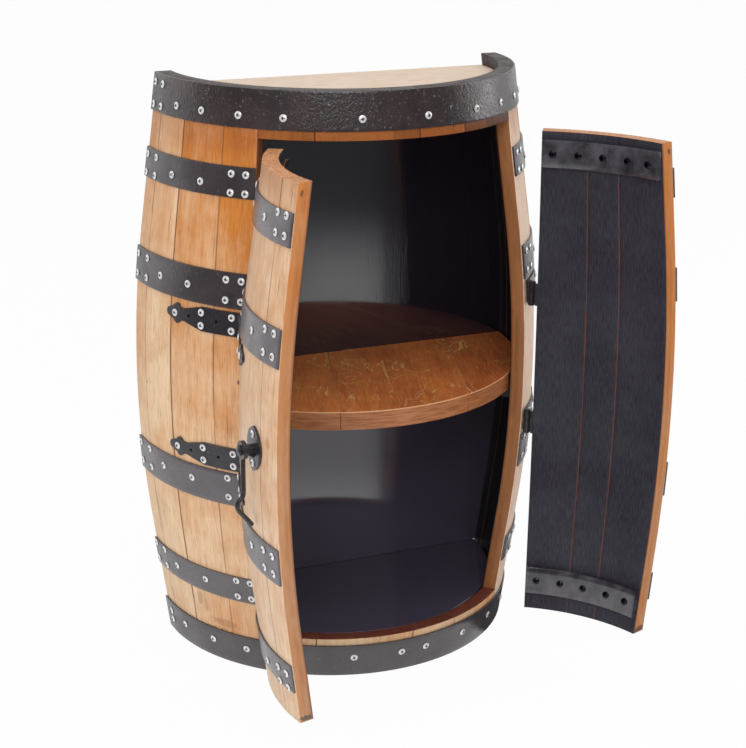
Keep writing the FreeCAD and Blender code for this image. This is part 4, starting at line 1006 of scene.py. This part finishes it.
def make_floor():
    """White floor that shows in gloss only behind the cabinet, close to it and in a strip ahead of it."""
    finish, net = new_finish("studio_floor")
    diffuse = net.add("BsdfDiffuse", {"Color": (0.9, 0.9, 0.9, 1)})
    seen, glossy = seen_directly(net)
    x, y, _ = net.parts(net.add("TexCoord").outputs["Object"])
    turn, behind = studio_glow(net, x, y)
    far = net.maths("SQRT", net.plus(net.times(x, x), net.times(y, y)))
    past_edge = net.plus(net.minus(x, STRIP_EDGE), net.times(y, STRIP_SLANT))
    unlit = net.times(net.between(past_edge, -0.012, 0.012), net.between(turn, 1.7, 1.3))
    ahead = net.times(net.between(past_edge, -0.65, -0.4), net.between(far, 0.3, 0.65))
    near = net.times(net.between(far, 1.6, 0.7), net.minus(1.0, net.times(unlit, 0.95)))
    near = net.times(near, net.minus(1.0, net.times(ahead, 0.5)))
    strip = net.times(net.between(past_edge, -0.65, -0.05), net.between(past_edge, 0.012, -0.012))
    strip = net.times(strip, net.between(far, 2.9, 1.9))
    strip = net.times(strip, net.plus(0.5, net.times(net.between(far, 0.9, 1.6), 0.5)))
    glow = net.most(behind, net.most(strip, near))
    glow = net.plus(net.minus(DIM, net.times(unlit, 0.1)), net.times(glow, 1 - DIM))
    strength = net.minus(1.0, net.times(glossy, net.minus(1.0, glow)))
    white = net.add("Emission", {"Color": (1, 1, 1, 1), "Strength": strength})
    blend = net.add("MixShader", {0: net.times(seen, 0.965), 1: diffuse.outputs[0], 2: white.outputs[0]})
    net.add("OutputMaterial", {0: blend.outputs[0]})
    mesh = bpy.data.meshes.new("floor")
    corners = [(x * FLOOR_REACH, y * FLOOR_REACH, 0) for x, y in ((-1, -1), (1, -1), (1, 1), (-1, 1))]
    mesh.from_pydata(corners, [], [(0, 1, 2, 3)])
    mesh.materials.append(finish)
    floor = placed("floor", mesh)


def make_world():
    """White surroundings that show in gloss only behind the cabinet."""
    world = bpy.data.worlds.new("studio")
    bpy.context.scene.world = world
    world.use_nodes = True
    world.node_tree.nodes.clear()
    net = Nodes(world.node_tree)
    seen, glossy = seen_directly(net)
    x, y, _ = net.parts(net.add("TexCoord").outputs["Generated"])
    _, behind = studio_glow(net, x, y)
    glow = net.plus(DIM, net.times(behind, 1 - DIM))
    strength = net.minus(1.0, net.times(glossy, net.minus(1.0, glow)))
    ambient = net.add("Background", {"Color": (1, 1, 1, 1), "Strength": AMBIENT})
    white = net.add("Background", {"Color": (1, 1, 1, 1), "Strength": strength})
    blend = net.add("MixShader", {0: seen, 1: ambient.outputs[0], 2: white.outputs[0]})
    net.add("OutputWorld", {0: blend.outputs[0]})


def add_softbox(name, place, aim, width, height, power, mirrored=True):
    """Area lamp; one that isn't mirrored lights the cabinet without showing in its gloss."""
    lamp = bpy.data.lights.new(name, "AREA")
    lamp.shape = "RECTANGLE"
    lamp.size, lamp.size_y = width, height
    lamp.energy = power
    box = placed(name, lamp)
    box.location = place
    box.rotation_mode = "QUATERNION"
    box.rotation_quaternion = (Vector(aim) - Vector(place)).to_track_quat("-Z", "Y")
    box.visible_glossy = mirrored


def make_camera():
    lens = bpy.data.cameras.new("camera")
    lens.lens = CAMERA_LENS
    lens.sensor_width = CAMERA_SENSOR
    camera = placed("camera", lens)
    yaw, pitch, roll = (math.radians(angle) for angle in (CAMERA_YAW, CAMERA_PITCH, CAMERA_ROLL))
    ahead = Vector((math.sin(yaw) * math.cos(pitch), math.cos(yaw) * math.cos(pitch), math.sin(pitch)))
    camera.rotation_mode = "QUATERNION"
    camera.location = CAMERA_PLACE
    level_view = ahead.to_track_quat("-Z", "Y")
    camera.rotation_quaternion = Matrix.Rotation(roll, 4, ahead).to_quaternion() @ level_view
    bpy.context.scene.camera = camera


make_floor()
make_world()
# Softboxes: place, point aimed at, width and height in metres, and watts.
add_softbox("key_softbox", (-3.2, -2.2, 0.9), (0, -0.2, 0.3), 2.0, 1.4, 38.5, mirrored=False)
add_softbox("front_softbox", (-1.1, -3.0, 2.6), (0, -0.2, 0.3), 2.0, 1.2, 40)
add_softbox("fill_softbox", (3.2, -0.4, 1.2), (0, -0.2, 0.45), 1.6, 1.8, 24)
add_softbox("top_softbox", (0.2, -0.6, 3.2), (0, -0.15, 0.4), 1.8, 1.8, 16)
make_camera()

bpy.context.scene.view_settings.view_transform = "Standard"
